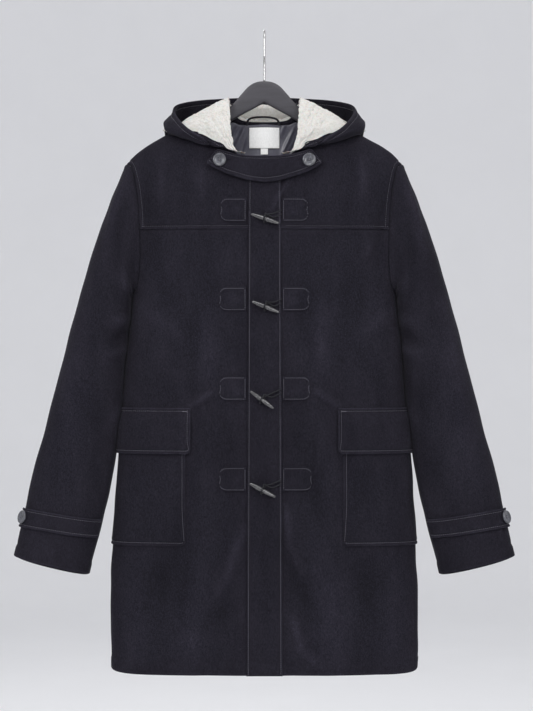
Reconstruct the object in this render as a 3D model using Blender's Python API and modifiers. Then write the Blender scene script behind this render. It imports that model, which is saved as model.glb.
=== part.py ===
"""A wool duffle coat hung on a shaped wooden hanger.

Frame: metres, +Z up, +X to the viewer's right, the fronts face -Y.
The origin is the inside of the hook's crown, where the hanger rests on its rod.
Every cloth piece is a wall of its own thickness on a surface worked out from the
section tables below; pieces that lie on a panel use that panel's surface, moved out.
"""
import math

import bmesh
import bpy
from mathutils import Vector

# ---------------------------------------------------------------- driving sizes
SEAM = 0.0003                 # gap between neighbouring pieces
WALL = 0.0026                 # wool cloth with its backing
OVERLAY = 0.0022              # one more layer of wool lying on a panel
BAND_WALL = 0.0014            # facing cloth
PILE_WALL = 0.0012            # knitted ground of the hood lining
SATIN_WALL = 0.0010

SECTION_POWER = 2.8           # how square the coat's horizontal sections are
SLEEVE_POWER = 2.3
SHOULDER_ROUND = 0.060        # drop over which the shoulder rolls from top to front
SHOULDER_ARC = 0.072          # length of that roll

HEM_Z = -1.0945
HEM_SIDE_RISE = 0.009
YOKE_Z = -0.3410
UNDERARM = (0.2250, -0.4460)
SHOULDER_POINT = (0.2355, -0.2275)
ARMHOLE_BOW = 0.0180          # how far the armhole seam bows in towards the chest
FRONT_LAP_X = 0.0240          # where the two fronts meet under the placket

PLACKET_LEFT_X = -0.0268
PLACKET_RIGHT_X = 0.0278
PLACKET_TOP_Z = -0.2240
PLACKET_SPREAD = 0.11         # the band's width grows by this share towards the hem

# Body sections: half width, depth in front and depth behind, by height.
BODY_COLUMNS = ("z", "half_width", "front", "back")
BODY_ROWS = (
    (-1.1100, 0.2600, 0.0500, 0.0480),
    (-1.0600, 0.2627, 0.0520, 0.0490),
    (-0.9700, 0.2632, 0.0530, 0.0500),
    (-0.9000, 0.2605, 0.0530, 0.0500),
    (-0.8500, 0.2570, 0.0530, 0.0500),
    (-0.7750, 0.2510, 0.0530, 0.0500),
    (-0.7000, 0.2465, 0.0525, 0.0500),
    (-0.6000, 0.2400, 0.0520, 0.0500),
    (-0.5200, 0.2325, 0.0520, 0.0500),
    (-0.4460, 0.2250, 0.0510, 0.0490),
    (-0.3400, 0.2330, 0.0470, 0.0450),
    (-0.2300, 0.2450, 0.0380, 0.0370),
    (-0.1000, 0.2500, 0.0310, 0.0310),
)

# Shoulder ridge: the height of the shoulder line over the hanger, by distance from the centre.
RIDGE_COLUMNS = ("x", "z")
RIDGE_ROWS = (
    (0.0000, -0.0980),
    (0.0620, -0.1255),
    (0.1180, -0.1530),
    (0.1790, -0.1835),
    (0.2150, -0.2055),
    (0.2355, -0.2275),
    (0.2600, -0.2620),
)

# Neck seam, half of it: from the centre front over the shoulder to the centre back.
# "arc" is the distance down from the shoulder ridge, negative on the front.
NECK_COLUMNS = ("along", "x", "arc")
NECK_ROWS = (
    (0.00, 0.0000, -0.1320),
    (0.10, 0.0300, -0.1200),
    (0.20, 0.0470, -0.1050),
    (0.30, 0.0560, -0.0850),
    (0.40, 0.0595, -0.0570),
    (0.50, 0.0615, -0.0260),
    (0.58, 0.0620, 0.0000),
    (0.66, 0.0605, 0.0210),
    (0.74, 0.0550, 0.0360),
    (0.84, 0.0430, 0.0500),
    (0.92, 0.0240, 0.0590),
    (1.00, 0.0000, 0.0665),
)

NECK_TOP = 0.58               # where along the seam the shoulder ridge meets it
NECK_POINT_X = 0.0620
FRONT_LAP_ALONG = 0.08        # where along the seam the fronts meet
NECK_COLUMNS_SHARE = 0.42     # share of a panel's columns that end on the neckline
RIDGE_GAP = 0.0007            # the shoulder seam stands this far off the ridge on each side
RIDGE_REACH = 0.2             # slope with which a panel's surface runs on past its top edge
FRONT_SHARES = (0.0, 0.16, 0.32, 0.46, 0.58, 0.69, 0.79, 0.88, 0.95, 1.0)
LOWER_SHARES = (0.0, 0.12, 0.24, 0.36, 0.48, 0.60, 0.73, 0.8607, 0.874, 0.90, 0.95, 1.0)
UPPER_SHARES = (0.0, 0.24, 0.45, 0.60, 0.71, 0.80, 0.88, 0.95, 1.0)

# Sleeve sections from the armhole to the cuff: the outer and inner ends of each section in
# the front view, how far its middle lies forward or back, and its depth each way.
SLEEVE_COLUMNS = ("step", "outer_x", "outer_z", "inner_x", "inner_z", "mid_y", "front", "back")
SLEEVE_ROWS = (
    (0.0, 0.2355, -0.2275, 0.2250, -0.4460, 0.000, 0.0300, 0.0300),
    (1.0, 0.2475, -0.2470, 0.2272, -0.4510, 0.000, 0.0370, 0.0370),
    (2.0, 0.2620, -0.2860, 0.2300, -0.4590, 0.001, 0.0430, 0.0430),
    (3.0, 0.2795, -0.3350, 0.2330, -0.4740, 0.002, 0.0460, 0.0470),
    (4.0, 0.3000, -0.3980, 0.2362, -0.4980, 0.003, 0.0480, 0.0490),
    (5.0, 0.3195, -0.4650, 0.2395, -0.5330, 0.004, 0.0490, 0.0500),
    (6.0, 0.3385, -0.5350, 0.2435, -0.5840, 0.003, 0.0480, 0.0490),
    (7.0, 0.3575, -0.6090, 0.2480, -0.6480, 0.000, 0.0460, 0.0460),
    (8.0, 0.3770, -0.6870, 0.2535, -0.7190, -0.006, 0.0430, 0.0430),
    (9.0, 0.3950, -0.7600, 0.2640, -0.7880, -0.014, 0.0400, 0.0400),
    (10.0, 0.4075, -0.8180, 0.2775, -0.8440, -0.021, 0.0380, 0.0370),
    (11.0, 0.4245, -0.8930, 0.2975, -0.9230, -0.031, 0.0370, 0.0360),
)
SLEEVE_STEPS = 11.0
SLEEVE_HEAD = 2.2             # sections over which the armhole's own shape fades out
CUFF_BACK_DROP = 0.013        # the back of the cuff is cut this much lower than the front
UNDER_SEAM_TURN = 0.5         # shares of the way round at which the two sleeve pieces meet
BACK_SEAM_TURN = 0.9375
SEAM_TURN = 0.0006            # half the gap between them

# Hood, half of it: from the front end of the neck seam round to the centre back.
# Each section runs from the neck seam over the part that rests on the coat, round the
# fold of the bag and up the outer layer to the rim of the opening.
HOOD_COLUMNS = (
    "section", "neck_x", "neck_arc", "rest_x", "rest_arc",
    "fold_x", "fold_y", "fold_z", "outer_x", "outer_y", "outer_z", "rim_x", "rim_y", "rim_z",
)
HOOD_ROWS = (
    (0, 0.0360, -0.1100, 0.0400, -0.1075,
     0.0437, -0.0402, -0.2105, 0.0467, -0.0408, -0.2098, 0.0500, -0.0414, -0.2090),
    (1, 0.0500, -0.1000, 0.0550, -0.0965,
     0.0600, -0.0405, -0.2062, 0.0635, -0.0412, -0.2055, 0.0675, -0.0418, -0.2045),
    (2, 0.0580, -0.0760, 0.0665, -0.0753,
     0.0745, -0.0415, -0.1960, 0.0800, -0.0425, -0.1990, 0.0862, -0.0440, -0.2012),
    (3, 0.0597, -0.0540, 0.0820, -0.0600,
     0.1035, -0.0445, -0.1968, 0.1095, -0.0515, -0.1935, 0.1072, -0.0550, -0.1860),
    (4, 0.0610, -0.0320, 0.0980, -0.0380,
     0.1330, -0.0390, -0.1885, 0.1405, -0.0455, -0.1790, 0.1310, -0.0465, -0.1690),
    (5, 0.0618, -0.0100, 0.1120, -0.0120,
     0.1570, -0.0170, -0.1800, 0.1650, -0.0210, -0.1610, 0.1470, -0.0190, -0.1495),
    (6, 0.0612, 0.0120, 0.1180, 0.0280,
     0.1640, 0.0230, -0.1900, 0.1710, 0.0180, -0.1560, 0.1560, 0.0120, -0.1320),
    (7, 0.0560, 0.0330, 0.1120, 0.0850,
     0.1560, 0.0660, -0.2300, 0.1690, 0.0660, -0.1800, 0.1500, 0.0420, -0.1180),
    (8, 0.0430, 0.0500, 0.0850, 0.1400,
     0.1200, 0.0820, -0.3200, 0.1420, 0.1050, -0.2200, 0.1180, 0.0660, -0.1080),
    (9, 0.0240, 0.0590, 0.0480, 0.1750,
     0.0650, 0.0900, -0.3850, 0.0800, 0.1260, -0.2550, 0.0650, 0.0820, -0.1020),
    (10, 0.0000, 0.0665, 0.0000, 0.1900,
     0.0000, 0.0930, -0.4050, 0.0000, 0.1320, -0.2650, 0.0000, 0.0880, -0.0985),
)
HOOD_SECTIONS = 10.0
HOOD_CORE = (0.0, 0.100, -0.250)
HOOD_REST = 0.0054            # the hood's outer face clears the coat by this much
HOOD_WALL = 0.0018
HOOD_GAP = 0.0005             # between the wool and the layers inside it
HOOD_KNOTS = (0.0, 0.26, 0.50, 0.72, 1.0)    # where a section's neck, rest, fold, outer and rim lie
HOOD_SHARES = (0.0, 0.13, 0.26, 0.36, 0.44, 0.50, 0.57, 0.65, 0.72, 0.86, 1.0)
HOOD_STATIONS = (0.0, 1.0, 2.0, 3.0, 3.8, 4.5, 5.0, 5.4, 5.8, 6.3, 7.0, 7.8, 8.6, 9.3, 10.0)
FACING_FROM = 0.72            # the wool facing runs from here to the rim, the pile below it

# Throat tab: its top and bottom edges by distance from the centre.
TAB_COLUMNS = ("x", "top", "bottom")
TAB_ROWS = (
    (0.0000, -0.2175, -0.2625),
    (0.0260, -0.2168, -0.2590),
    (0.0480, -0.2140, -0.2525),
    (0.0640, -0.2098, -0.2475),
    (0.0775, -0.2062, -0.2415),
    (0.0820, -0.2085, -0.2394),
    (0.0900, -0.2185, -0.2347),
    (0.0966, -0.2262, -0.2298),
)
TAB_LIFT = 0.0060

# Toggles: number, the centre's x and z, its tilt in degrees, the height of its patches,
# and how far the left and the right patch reach.
TOGGLE_ROWS = (
    (1, 0.0010, -0.3245, 18.5, -0.3086, 0.0740, 0.0740),
    (2, 0.0020, -0.4730, 21.8, -0.4594, 0.0755, 0.0755),
    (3, -0.0040, -0.6290, 36.5, -0.6102, 0.0755, 0.0765),
    (4, -0.0030, -0.7808, 27.7, -0.7629, 0.0760, 0.0800),
)
PATCH_INNER_X = 0.0303
PATCH_HEIGHT = 0.0400
PATCH_CORNER = 0.0120
PATCH_SHARES = (0.0, 0.37, 0.74, 0.85, 0.94, 0.985, 1.0)
TOGGLE_LENGTH = 0.0490
TOGGLE_RADIUS = 0.0041
TOGGLE_LIFT = 0.0101          # toggle's centre line above the panel
LOOP_CORD_RADIUS = 0.0012
LOOP_START_X = 0.0290
LOOP_DROP = 0.0040            # how far below the patch's middle the loop starts
LOOP_SLACK = 0.0004           # air between the cord and what it passes

POCKET_INNER_X = 0.1330
POCKET_BOTTOM_Z = -0.8765
POCKET_TOP_Z = -0.6560
POCKET_CORNER = 0.0080
POCKET_GAP = 0.0008           # clearance of a pocket bag over the curved front
FLAP_INNER_X = 0.1240
FLAP_TOP_Z = -0.6430
FLAP_BOTTOM_Z = -0.7210
POCKET_SHARE = 0.30           # columns below this share make the pocket's inner corner

BUTTON_RADIUS = 0.0113
BUTTON_THICK = 0.0042
THROAT_BUTTON = (0.0755, -0.2245)

BUTTON_SEAT = 0.0006          # a button stands off its tab, so its edge clears the curve
CUFF_TAB_HALF = 0.0205        # half the tab's width, as a share of the sleeve's length
TAB_START_TURN = 0.455        # places round the sleeve: 0 outer edge, 0.25 front, 0.5 inner edge
TAB_END_TURN = -0.085
TAB_START_ALONG = 0.9120
TAB_END_ALONG = 0.9260
TAB_POINT_FROM = 0.86
TAB_TURNS = (0.455, 0.4375, 0.375, 0.3125, 0.25, 0.1875, 0.125, 0.0625, 0.0, -0.024, -0.0625, -0.085)
TAB_BUTTON_TURN = 0.0700
BODY_CORE = (0.0, 0.0, -0.6)
ARMHOLE_GAP = 0.0029

# Satin's top edge inside the back of the neck.
LINING_COLUMNS = ("x", "arc")
LINING_ROWS = (
    (0.000, 0.0680),
    (0.025, 0.0605),
    (0.044, 0.0530),
    (0.056, 0.0450),
    (0.100, 0.0450),
)
LINING_HALF_X = 0.1000
LINING_TOP_GAP = 0.0030       # satin stops this far below the neck seam
LINING_BOTTOM_ARC = 0.2450
LABEL_HALF_X = 0.0262
LABEL_TOP_Z = -0.1600
LABEL_BOTTOM_Z = -0.1960
SIZE_TAB_HALF_X = 0.0063
SIZE_TAB_BOTTOM_Z = -0.2065
TAPE_WALL = 0.0006
LINING_DEPTH = 0.0052         # from the back's outer face in to the satin
LABEL_GAP = 0.0008
HANG_LOOP_Y = 0.0210
HANG_LOOP_RADIUS = 0.0019
HANG_LOOP_ROUTE = (
    (-0.0300, -0.1570), (-0.0270, -0.1475), (-0.0150, -0.1435),
    (0.0080, -0.1435), (0.0220, -0.1475), (0.0260, -0.1570),
)

# A toggle's half outline: place along it (-1 to 1) and radius as a share of the largest.
SPINDLE_PROFILE = (
    (1.00, 0.0), (0.985, 0.36), (0.93, 0.52), (0.62, 0.80), (0.20, 1.00), (0.10, 0.97), (0.06, 0.80),
    (-0.06, 0.80), (-0.10, 0.97), (-0.20, 1.00), (-0.62, 0.80), (-0.93, 0.52), (-0.985, 0.36), (-1.00, 0.0),
)
SPINDLE_WAIST = 0.80
SPINDLE_SIDES = 12
MERGE_DISTANCE = 0.00005
LOOP_HALF_SPREAD = 0.0032

HOOK_INNER_RADIUS = 0.0190
HOOK_WIRE_RADIUS = 0.0020
HOOK_TIP_DROPS = (0.0100, 0.0200, 0.0290)
HOOK_STEM_ROUTE = (
    (0.0, 0.0, -0.0838), (0.0, 0.0, -0.0700), (0.0, 0.0010, -0.0600), (0.0, 0.0090, -0.0480),
    (0.0, 0.0180, -0.0360), (0.0, 0.0210, -0.0190),
)
# Hanger: top and bottom edges and half thickness by distance from the centre.
HANGER_SIDES = 12
HANGER_SQUARE = 0.75          # below one: a section squarer than an ellipse
HANGER_STATIONS = (0.0, 0.008, 0.018, 0.028, 0.038, 0.047, 0.056, 0.068, 0.085,
                   0.11, 0.14, 0.17, 0.195, 0.208, 0.2122)
HANGER_COLUMNS = ("x", "top", "bottom", "half_thick")
HANGER_ROWS = (
    (0.0000, -0.0845, -0.1215, 0.0068),
    (0.0130, -0.0862, -0.1285, 0.0068),
    (0.0260, -0.0930, -0.1355, 0.0069),
    (0.0400, -0.1080, -0.1430, 0.0070),
    (0.0500, -0.1200, -0.1490, 0.0072),
    (0.0640, -0.1325, -0.1570, 0.0075),
    (0.1000, -0.1508, -0.1720, 0.0084),
    (0.1500, -0.1765, -0.1960, 0.0095),
    (0.1900, -0.1980, -0.2150, 0.0100),
    (0.2080, -0.2095, -0.2240, 0.0090),
    (0.2140, -0.2155, -0.2250, 0.0050),
)

FRONT = -1.0
BACK = 1.0
LEFT = -1.0
RIGHT = 1.0
SIDE_NAMES = {LEFT: "left", RIGHT: "right"}


# ---------------------------------------------------------------- small tools
def lerp(start, end, share):
    return start + (end - start) * share


def lookup(columns, rows, name, at):
    """A smooth curve through one named column of a table, read at a place in its first column."""
    place = columns.index(name)
    last = len(rows) - 1
    at = min(max(at, rows[0][0]), rows[last][0])
    low = 0
    while low < last - 1 and rows[low + 1][0] < at:
        low += 1
    high = low + 1
    span = rows[high][0] - rows[low][0]
    share = (at - rows[low][0]) / span
    start, end = rows[low][place], rows[high][place]
    before, after = max(low - 1, 0), min(high + 1, last)
    slope_low = (end - rows[before][place]) / (rows[high][0] - rows[before][0])
    slope_high = (rows[after][place] - start) / (rows[after][0] - rows[low][0])
    square, cube = share * share, share ** 3
    return (
        (2 * cube - 3 * square + 1) * start
        + (cube - 2 * square + share) * span * slope_low
        + (3 * square - 2 * cube) * end
        + (cube - square) * span * slope_high
    )


def signed_power(value, power):
    return math.copysign(abs(value) ** power, value)


def steps(count, start=0.0, end=1.0):
    return [lerp(start, end, index / count) for index in range(count + 1)]


def corner_inset(distance, radius):
    """How far a rounded corner pulls an edge in, at a distance from the end of that edge."""
    if distance >= radius:
        return 0.0
    return radius - math.sqrt(max(radius ** 2 - (radius - distance) ** 2, 0.0))


def material(name, colour, roughness, metallic=0.0):
    made = bpy.data.materials.new(name)
    made.use_nodes = True
    shader = made.node_tree.nodes["Principled BSDF"]
    shader.inputs["Base Color"].default_value = (*colour, 1.0)
    shader.inputs["Roughness"].default_value = roughness
    shader.inputs["Metallic"].default_value = metallic
    return made


def start_collection(name):
    for leftover in list(bpy.data.objects):
        bpy.data.objects.remove(leftover, do_unlink=True)
    made = bpy.data.collections.new(name)
    bpy.context.scene.collection.children.link(made)
    return made


def finish_mesh(name, mesh_source, finish):
    """Turns a bmesh into a smooth-shaded object in the coat's collection."""
    mesh = bpy.data.meshes.new(name)
    bmesh.ops.recalc_face_normals(mesh_source, faces=mesh_source.faces)
    mesh_source.to_mesh(mesh)
    mesh_source.free()
    mesh.materials.append(finish)
    mesh.shade_smooth()
    mesh.set_sharp_from_angle(angle=math.radians(50))
    made = bpy.data.objects.new(name, mesh)
    COAT.objects.link(made)
    return made


def surface_normal(surface, u, v, out):
    reach = 0.002
    across = surface(u + reach, v) - surface(u - reach, v)
    along = surface(u, v + reach) - surface(u, v - reach)
    return across.cross(along).normalized() * out


def facing_out(surface, u, v, core):
    """1 or -1: the sign that turns a surface's normal away from a point inside it."""
    away = surface(u, v) - Vector(core)
    return math.copysign(1.0, surface_normal(surface, u, v, 1.0).dot(away))


def cloth(name, surface, us, vs, low, high, finish, out, closed=False):
    """A wall of cloth between two lifts over a surface; closed makes a tube round u."""
    made = bmesh.new()
    layers = []
    for lift in (low, high):
        layers.append([
            [made.verts.new(surface(u, v) + surface_normal(surface, u, v, out) * lift) for u in us]
            for v in vs
        ])
    inner, outer = layers
    wide, tall = len(us), len(vs)
    for row in range(tall - 1):
        for col in range(wide if closed else wide - 1):
            step = (col + 1) % wide
            for layer in layers:
                made.faces.new((layer[row][col], layer[row][step],
                                layer[row + 1][step], layer[row + 1][col]))
    for row in (0, tall - 1):
        for col in range(wide if closed else wide - 1):
            step = (col + 1) % wide
            made.faces.new((inner[row][col], inner[row][step], outer[row][step], outer[row][col]))
    if not closed:
        for col in (0, wide - 1):
            for row in range(tall - 1):
                made.faces.new((inner[row][col], inner[row + 1][col],
                                outer[row + 1][col], outer[row][col]))
    return finish_mesh(name, made, finish)


def wire(name, points, radius, finish):
    """A round cord or wire along a list of points, with filled ends."""
    curve = bpy.data.curves.new(name, "CURVE")
    curve.dimensions = "3D"
    curve.bevel_depth = radius
    curve.bevel_resolution = 2
    curve.use_fill_caps = True
    line = curve.splines.new("POLY")
    line.points.add(len(points) - 1)
    for place, point in zip(line.points, points):
        place.co = (*point, 1.0)
    curve.materials.append(finish)
    made = bpy.data.objects.new(name, curve)
    COAT.objects.link(made)
    return made


def smooth_path(points, per_span):
    """Points read from a smooth curve through a short list of route points."""
    route = [Vector(point) for point in points]
    ends = [route[0] * 2 - route[1]] + route + [route[-1] * 2 - route[-2]]
    path = []
    for index in range(1, len(ends) - 2):
        before, start, end, after = ends[index - 1:index + 3]
        for count in range(per_span):
            share = count / per_span
            path.append(0.5 * (
                2 * start + (end - before) * share
                + (2 * before - 5 * start + 4 * end - after) * share ** 2
                + (3 * start - before - 3 * end + after) * share ** 3
            ))
    path.append(route[-1])
    return path


# ---------------------------------------------------------------- the coat's surface
def half_width(z):
    return lookup(BODY_COLUMNS, BODY_ROWS, "half_width", z)


def ridge_z(x):
    return lookup(RIDGE_COLUMNS, RIDGE_ROWS, "z", abs(x))


def arc_from_drop(drop):
    if drop >= SHOULDER_ROUND:
        return SHOULDER_ARC + drop - SHOULDER_ROUND
    return SHOULDER_ARC * math.acos(1 - max(drop, 0.0) / SHOULDER_ROUND) / (math.pi / 2)


def coat_depth(x, z, side):
    name = "front" if side == FRONT else "back"
    across = min(abs(x) / half_width(z), 1.0)
    return lookup(BODY_COLUMNS, BODY_ROWS, name, z) * (1 - across ** SECTION_POWER) ** (1 / SECTION_POWER)


def coat_point(x, z, side):
    """The coat's outer face at a place of the front view."""
    drop = max(ridge_z(x) - z, 0.0)
    roll = 1.0
    if drop < SHOULDER_ROUND:
        roll = math.sqrt(1 - (1 - drop / SHOULDER_ROUND) ** 2)
    return Vector((x, side * (coat_depth(x, z, side) * roll + SEAM / 2), z))


def shoulder_surface(x, arc):
    """The coat's outer face by distance down from the shoulder ridge, negative on the front."""
    side = FRONT if arc < 0 else BACK
    length = abs(arc)
    if length < SHOULDER_ARC:
        turn = length / SHOULDER_ARC * math.pi / 2
        roll, drop = math.sin(turn), SHOULDER_ROUND * (1 - math.cos(turn))
    else:
        roll, drop = 1.0, SHOULDER_ROUND + length - SHOULDER_ARC
    z = ridge_z(x) - drop
    return Vector((x, side * (coat_depth(x, z, side) * roll + SEAM / 2), z))


def turn_of(x, z):
    """Angle round the coat's section at a place: 0 at the centre, 90 degrees at the side."""
    across = min(abs(x) / half_width(z), 1.0)
    return math.copysign(math.asin(across ** (SECTION_POWER / 2)), x)


def section_point(turn, z, side):
    """The coat's outer face by angle round its section, past the side onto the other face."""
    name = "front" if side == FRONT else "back"
    x = half_width(z) * signed_power(math.sin(turn), 2 / SECTION_POWER)
    depth = lookup(BODY_COLUMNS, BODY_ROWS, name, z)
    y = depth * signed_power(math.cos(turn), 2 / SECTION_POWER)
    return Vector((x, side * (y + SEAM / 2), z))


def armhole_xz(angle):
    """The armhole seam in the front view, from the shoulder point (0) to the underarm (pi)."""
    share = (1 - math.cos(angle)) / 2
    x = lerp(SHOULDER_POINT[0], UNDERARM[0], share) - ARMHOLE_BOW * abs(math.sin(angle)) ** 0.7
    return x, lerp(SHOULDER_POINT[1], UNDERARM[1], share)


def armhole_x(z):
    share = (z - SHOULDER_POINT[1]) / (UNDERARM[1] - SHOULDER_POINT[1])
    return armhole_xz(math.acos(1 - 2 * min(max(share, 0.0), 1.0)))[0]


def outer_turn(z):
    if z <= UNDERARM[1]:
        return math.pi / 2
    return turn_of(armhole_x(z), z)


def neck_place(along):
    """A point of the neck seam as distance from the centre and down from the ridge."""
    x = lookup(NECK_COLUMNS, NECK_ROWS, "x", abs(along))
    arc = lookup(NECK_COLUMNS, NECK_ROWS, "arc", abs(along))
    return Vector((math.copysign(x, along), abs(arc)))


def hem_z(share):
    return HEM_Z + HEM_SIDE_RISE * share ** 6


# ---------------------------------------------------------------- body panels
def lower_panel(side, hand, inner_x, top_z):
    """The surface of a front or half back from the hem up to a level line."""
    def surface(u, v):
        z = lerp(hem_z(min(max(u, 0.0), 1.0)), top_z, v)
        turn = lerp(turn_of(inner_x, z), outer_turn(z), u)
        point = section_point(turn, z, side)
        return Vector((point.x * hand, point.y, point.z))
    return surface


def upper_panel(side, hand, inner_x, bottom_z, neck_end):
    """The surface above that line: neckline and shoulder on top, armhole outside.

    It is worked out in the plane of (distance from the centre, distance down from the
    ridge), filled in between its four edges.
    """
    def place(x, z):
        return Vector((x, arc_from_drop(ridge_z(x) - z)))

    def top_edge(u):
        if u < NECK_COLUMNS_SHARE:
            return neck_place(lerp(neck_end, NECK_TOP, u / NECK_COLUMNS_SHARE))
        share = (u - NECK_COLUMNS_SHARE) / (1 - NECK_COLUMNS_SHARE)
        return Vector((lerp(NECK_POINT_X, SHOULDER_POINT[0], share), 0.0))

    def bottom_edge(u):
        turn = lerp(turn_of(inner_x, bottom_z), outer_turn(bottom_z), u)
        return place(section_point(turn, bottom_z, side).x, bottom_z)

    def inner_edge(v):
        return bottom_edge(0.0).lerp(top_edge(0.0), v)

    low_angle = math.acos(1 - 2 * (bottom_z - SHOULDER_POINT[1]) / (UNDERARM[1] - SHOULDER_POINT[1]))

    def outer_edge(v):
        return place(*armhole_xz(lerp(low_angle, 0.0, v)))

    def surface(u, v):
        u_in, v_in = min(max(u, 0.0), 1.0), min(max(v, 0.0), 1.0)
        over_ridge = (v - v_in) * RIDGE_REACH - v_in * RIDGE_GAP
        flat = (
            bottom_edge(u_in) * (1 - v_in) + top_edge(u_in) * v_in
            + inner_edge(v_in) * (1 - u_in) + outer_edge(v_in) * u_in
            - bottom_edge(0.0) * (1 - u_in) * (1 - v_in) - bottom_edge(1.0) * u_in * (1 - v_in)
            - top_edge(0.0) * (1 - u_in) * v_in - top_edge(1.0) * u_in * v_in
        )
        point = shoulder_surface(flat.x, (flat.y - over_ridge) * side + math.copysign(1e-9, side))
        return Vector((point.x * hand, point.y, point.z))
    return surface


def build_fronts(wool):
    rows, top_columns = LOWER_SHARES, steps(11)
    for hand, lap, along in ((LEFT, -FRONT_LAP_X, -FRONT_LAP_ALONG),
                             (RIGHT, FRONT_LAP_X + SEAM, FRONT_LAP_ALONG)):
        name = SIDE_NAMES[hand]
        lower = lower_panel(FRONT, hand, lap, YOKE_Z - SEAM / 2)
        out = facing_out(lower, 0.5, 0.5, BODY_CORE)
        cloth(f"front_{name}", lower, FRONT_SHARES, rows, -WALL, 0.0, wool, out)
        upper = upper_panel(FRONT, hand, lap, YOKE_Z + SEAM / 2, along)
        out = facing_out(upper, 0.5, 0.5, BODY_CORE)
        cloth(f"yoke_{name}", upper, top_columns, UPPER_SHARES, -WALL, 0.0, wool, out)


def build_back(wool):
    halves = {}
    for hand in (LEFT, RIGHT):
        halves[hand] = (
            lower_panel(BACK, hand, 0.0, YOKE_Z),
            upper_panel(BACK, hand, 0.0, YOKE_Z, 1.0),
        )

    def surface(u, v):
        lower, upper = halves[LEFT if u < 0 else RIGHT]
        if v < 1.0:
            return lower(abs(u), v)
        return upper(abs(u), v - 1.0)

    half = (0.0, 0.17, 0.34, 0.50, 0.64, 0.77, 0.89, 1.0)
    columns = [-share for share in reversed(half[1:])] + list(half)
    rows = list(LOWER_SHARES) + [1.0 + share for share in UPPER_SHARES[1:]]
    out = facing_out(surface, 0.5, 0.5, BODY_CORE)
    cloth("back", surface, columns, rows, -WALL, 0.0, wool, out)


def build_placket(wool):
    def surface(u, v):
        spread = 1.0 + PLACKET_SPREAD * (1 - v)
        x = lerp(PLACKET_LEFT_X, PLACKET_RIGHT_X, (u - 0.5) * spread + 0.5)
        return coat_point(x, lerp(HEM_Z, PLACKET_TOP_Z, v), FRONT)

    out = facing_out(surface, 0.5, 0.5, BODY_CORE)
    cloth("placket", surface, steps(2), steps(20), SEAM, SEAM + WALL, wool, out)


# ---------------------------------------------------------------- sleeves
def sleeve_cell(name, v):
    return lookup(SLEEVE_COLUMNS, SLEEVE_ROWS, name, v * SLEEVE_STEPS)


def sleeve_surface(hand):
    """A sleeve: v runs from armhole to cuff, u once round from the outer edge over the front."""
    def surface(u, v):
        angle = 2 * math.pi * u
        v_in = max(v, 0.0)
        across = signed_power(math.cos(angle), 2 / SLEEVE_POWER)
        deep = signed_power(math.sin(angle), 2 / SLEEVE_POWER)
        outer = Vector((sleeve_cell("outer_x", v_in), 0.0, sleeve_cell("outer_z", v_in)))
        inner = Vector((sleeve_cell("inner_x", v_in), 0.0, sleeve_cell("inner_z", v_in)))
        point = outer.lerp(inner, (1 - across) / 2)
        depth = sleeve_cell("front", v_in) if deep > 0 else sleeve_cell("back", v_in)
        point.y = sleeve_cell("mid_y", v_in) - deep * depth
        point.z += CUFF_BACK_DROP * min(deep, 0.0) * v_in ** 6
        fade = max(1 - v_in * SLEEVE_STEPS / SLEEVE_HEAD, 0.0) ** 2
        if fade > 0.0:
            turn = math.acos(math.cos(angle))
            seam_x, seam_z = armhole_xz(turn)
            side = FRONT if deep > 0 else BACK
            seam = coat_point(seam_x, seam_z, side)
            seam.x += ARMHOLE_GAP
            point = point.lerp(seam, fade)
        return Vector((point.x * hand, point.y, point.z))
    return surface


def sleeve_sign(surface):
    middle = (surface(0.0, 0.5) + surface(0.5, 0.5)) / 2
    return facing_out(surface, 0.25, 0.5, middle)


def build_sleeves(wool, lining):
    """Each sleeve is cut in two: the top sleeve over the front, the under sleeve behind."""
    around = steps(16)[:-1]
    top = [BACK_SEAM_TURN - 1 + SEAM_TURN, *around[:8], UNDER_SEAM_TURN - SEAM_TURN]
    under = [UNDER_SEAM_TURN + SEAM_TURN, *around[9:15], BACK_SEAM_TURN - SEAM_TURN]
    for hand in (LEFT, RIGHT):
        name = SIDE_NAMES[hand]
        surface = sleeve_surface(hand)
        out = sleeve_sign(surface)
        cloth(f"sleeve_{name}_top", surface, top, steps(13), -WALL, 0.0, wool, out)
        cloth(f"sleeve_{name}_under", surface, under, steps(13), -WALL, 0.0, wool, out)
        cloth(f"cuff_lining_{name}", surface, around, (0.955, 0.996),
              -WALL - SEAM - SATIN_WALL, -WALL - SEAM, lining, out, closed=True)


def build_cuff_tabs(wool, horn):
    """Each tab starts inside the front of the cuff and ends in a point behind the outer edge."""
    for hand in (LEFT, RIGHT):
        name = SIDE_NAMES[hand]
        sleeve = sleeve_surface(hand)

        def surface(turn, v):
            u = (turn - TAB_START_TURN) / (TAB_END_TURN - TAB_START_TURN)
            middle = lerp(TAB_START_ALONG, TAB_END_ALONG, u)
            half = CUFF_TAB_HALF * (1 - 0.62 * max(u - TAB_POINT_FROM, 0.0) / (1 - TAB_POINT_FROM))
            return sleeve(turn, middle + half * (0.5 - v) * 2)

        middle = (sleeve(0.0, 0.95) + sleeve(0.5, 0.95)) / 2
        out = facing_out(surface, 0.25, 0.5, middle)
        cloth(f"cuff_tab_{name}", surface, TAB_TURNS, steps(2), SEAM, SEAM + OVERLAY, wool, out)
        normal = surface_normal(surface, TAB_BUTTON_TURN, 0.5, out)
        seat = surface(TAB_BUTTON_TURN, 0.5) + normal * (2 * SEAM + OVERLAY + BUTTON_SEAT)
        build_button(f"cuff_button_{name}", seat, normal, horn)


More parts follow.
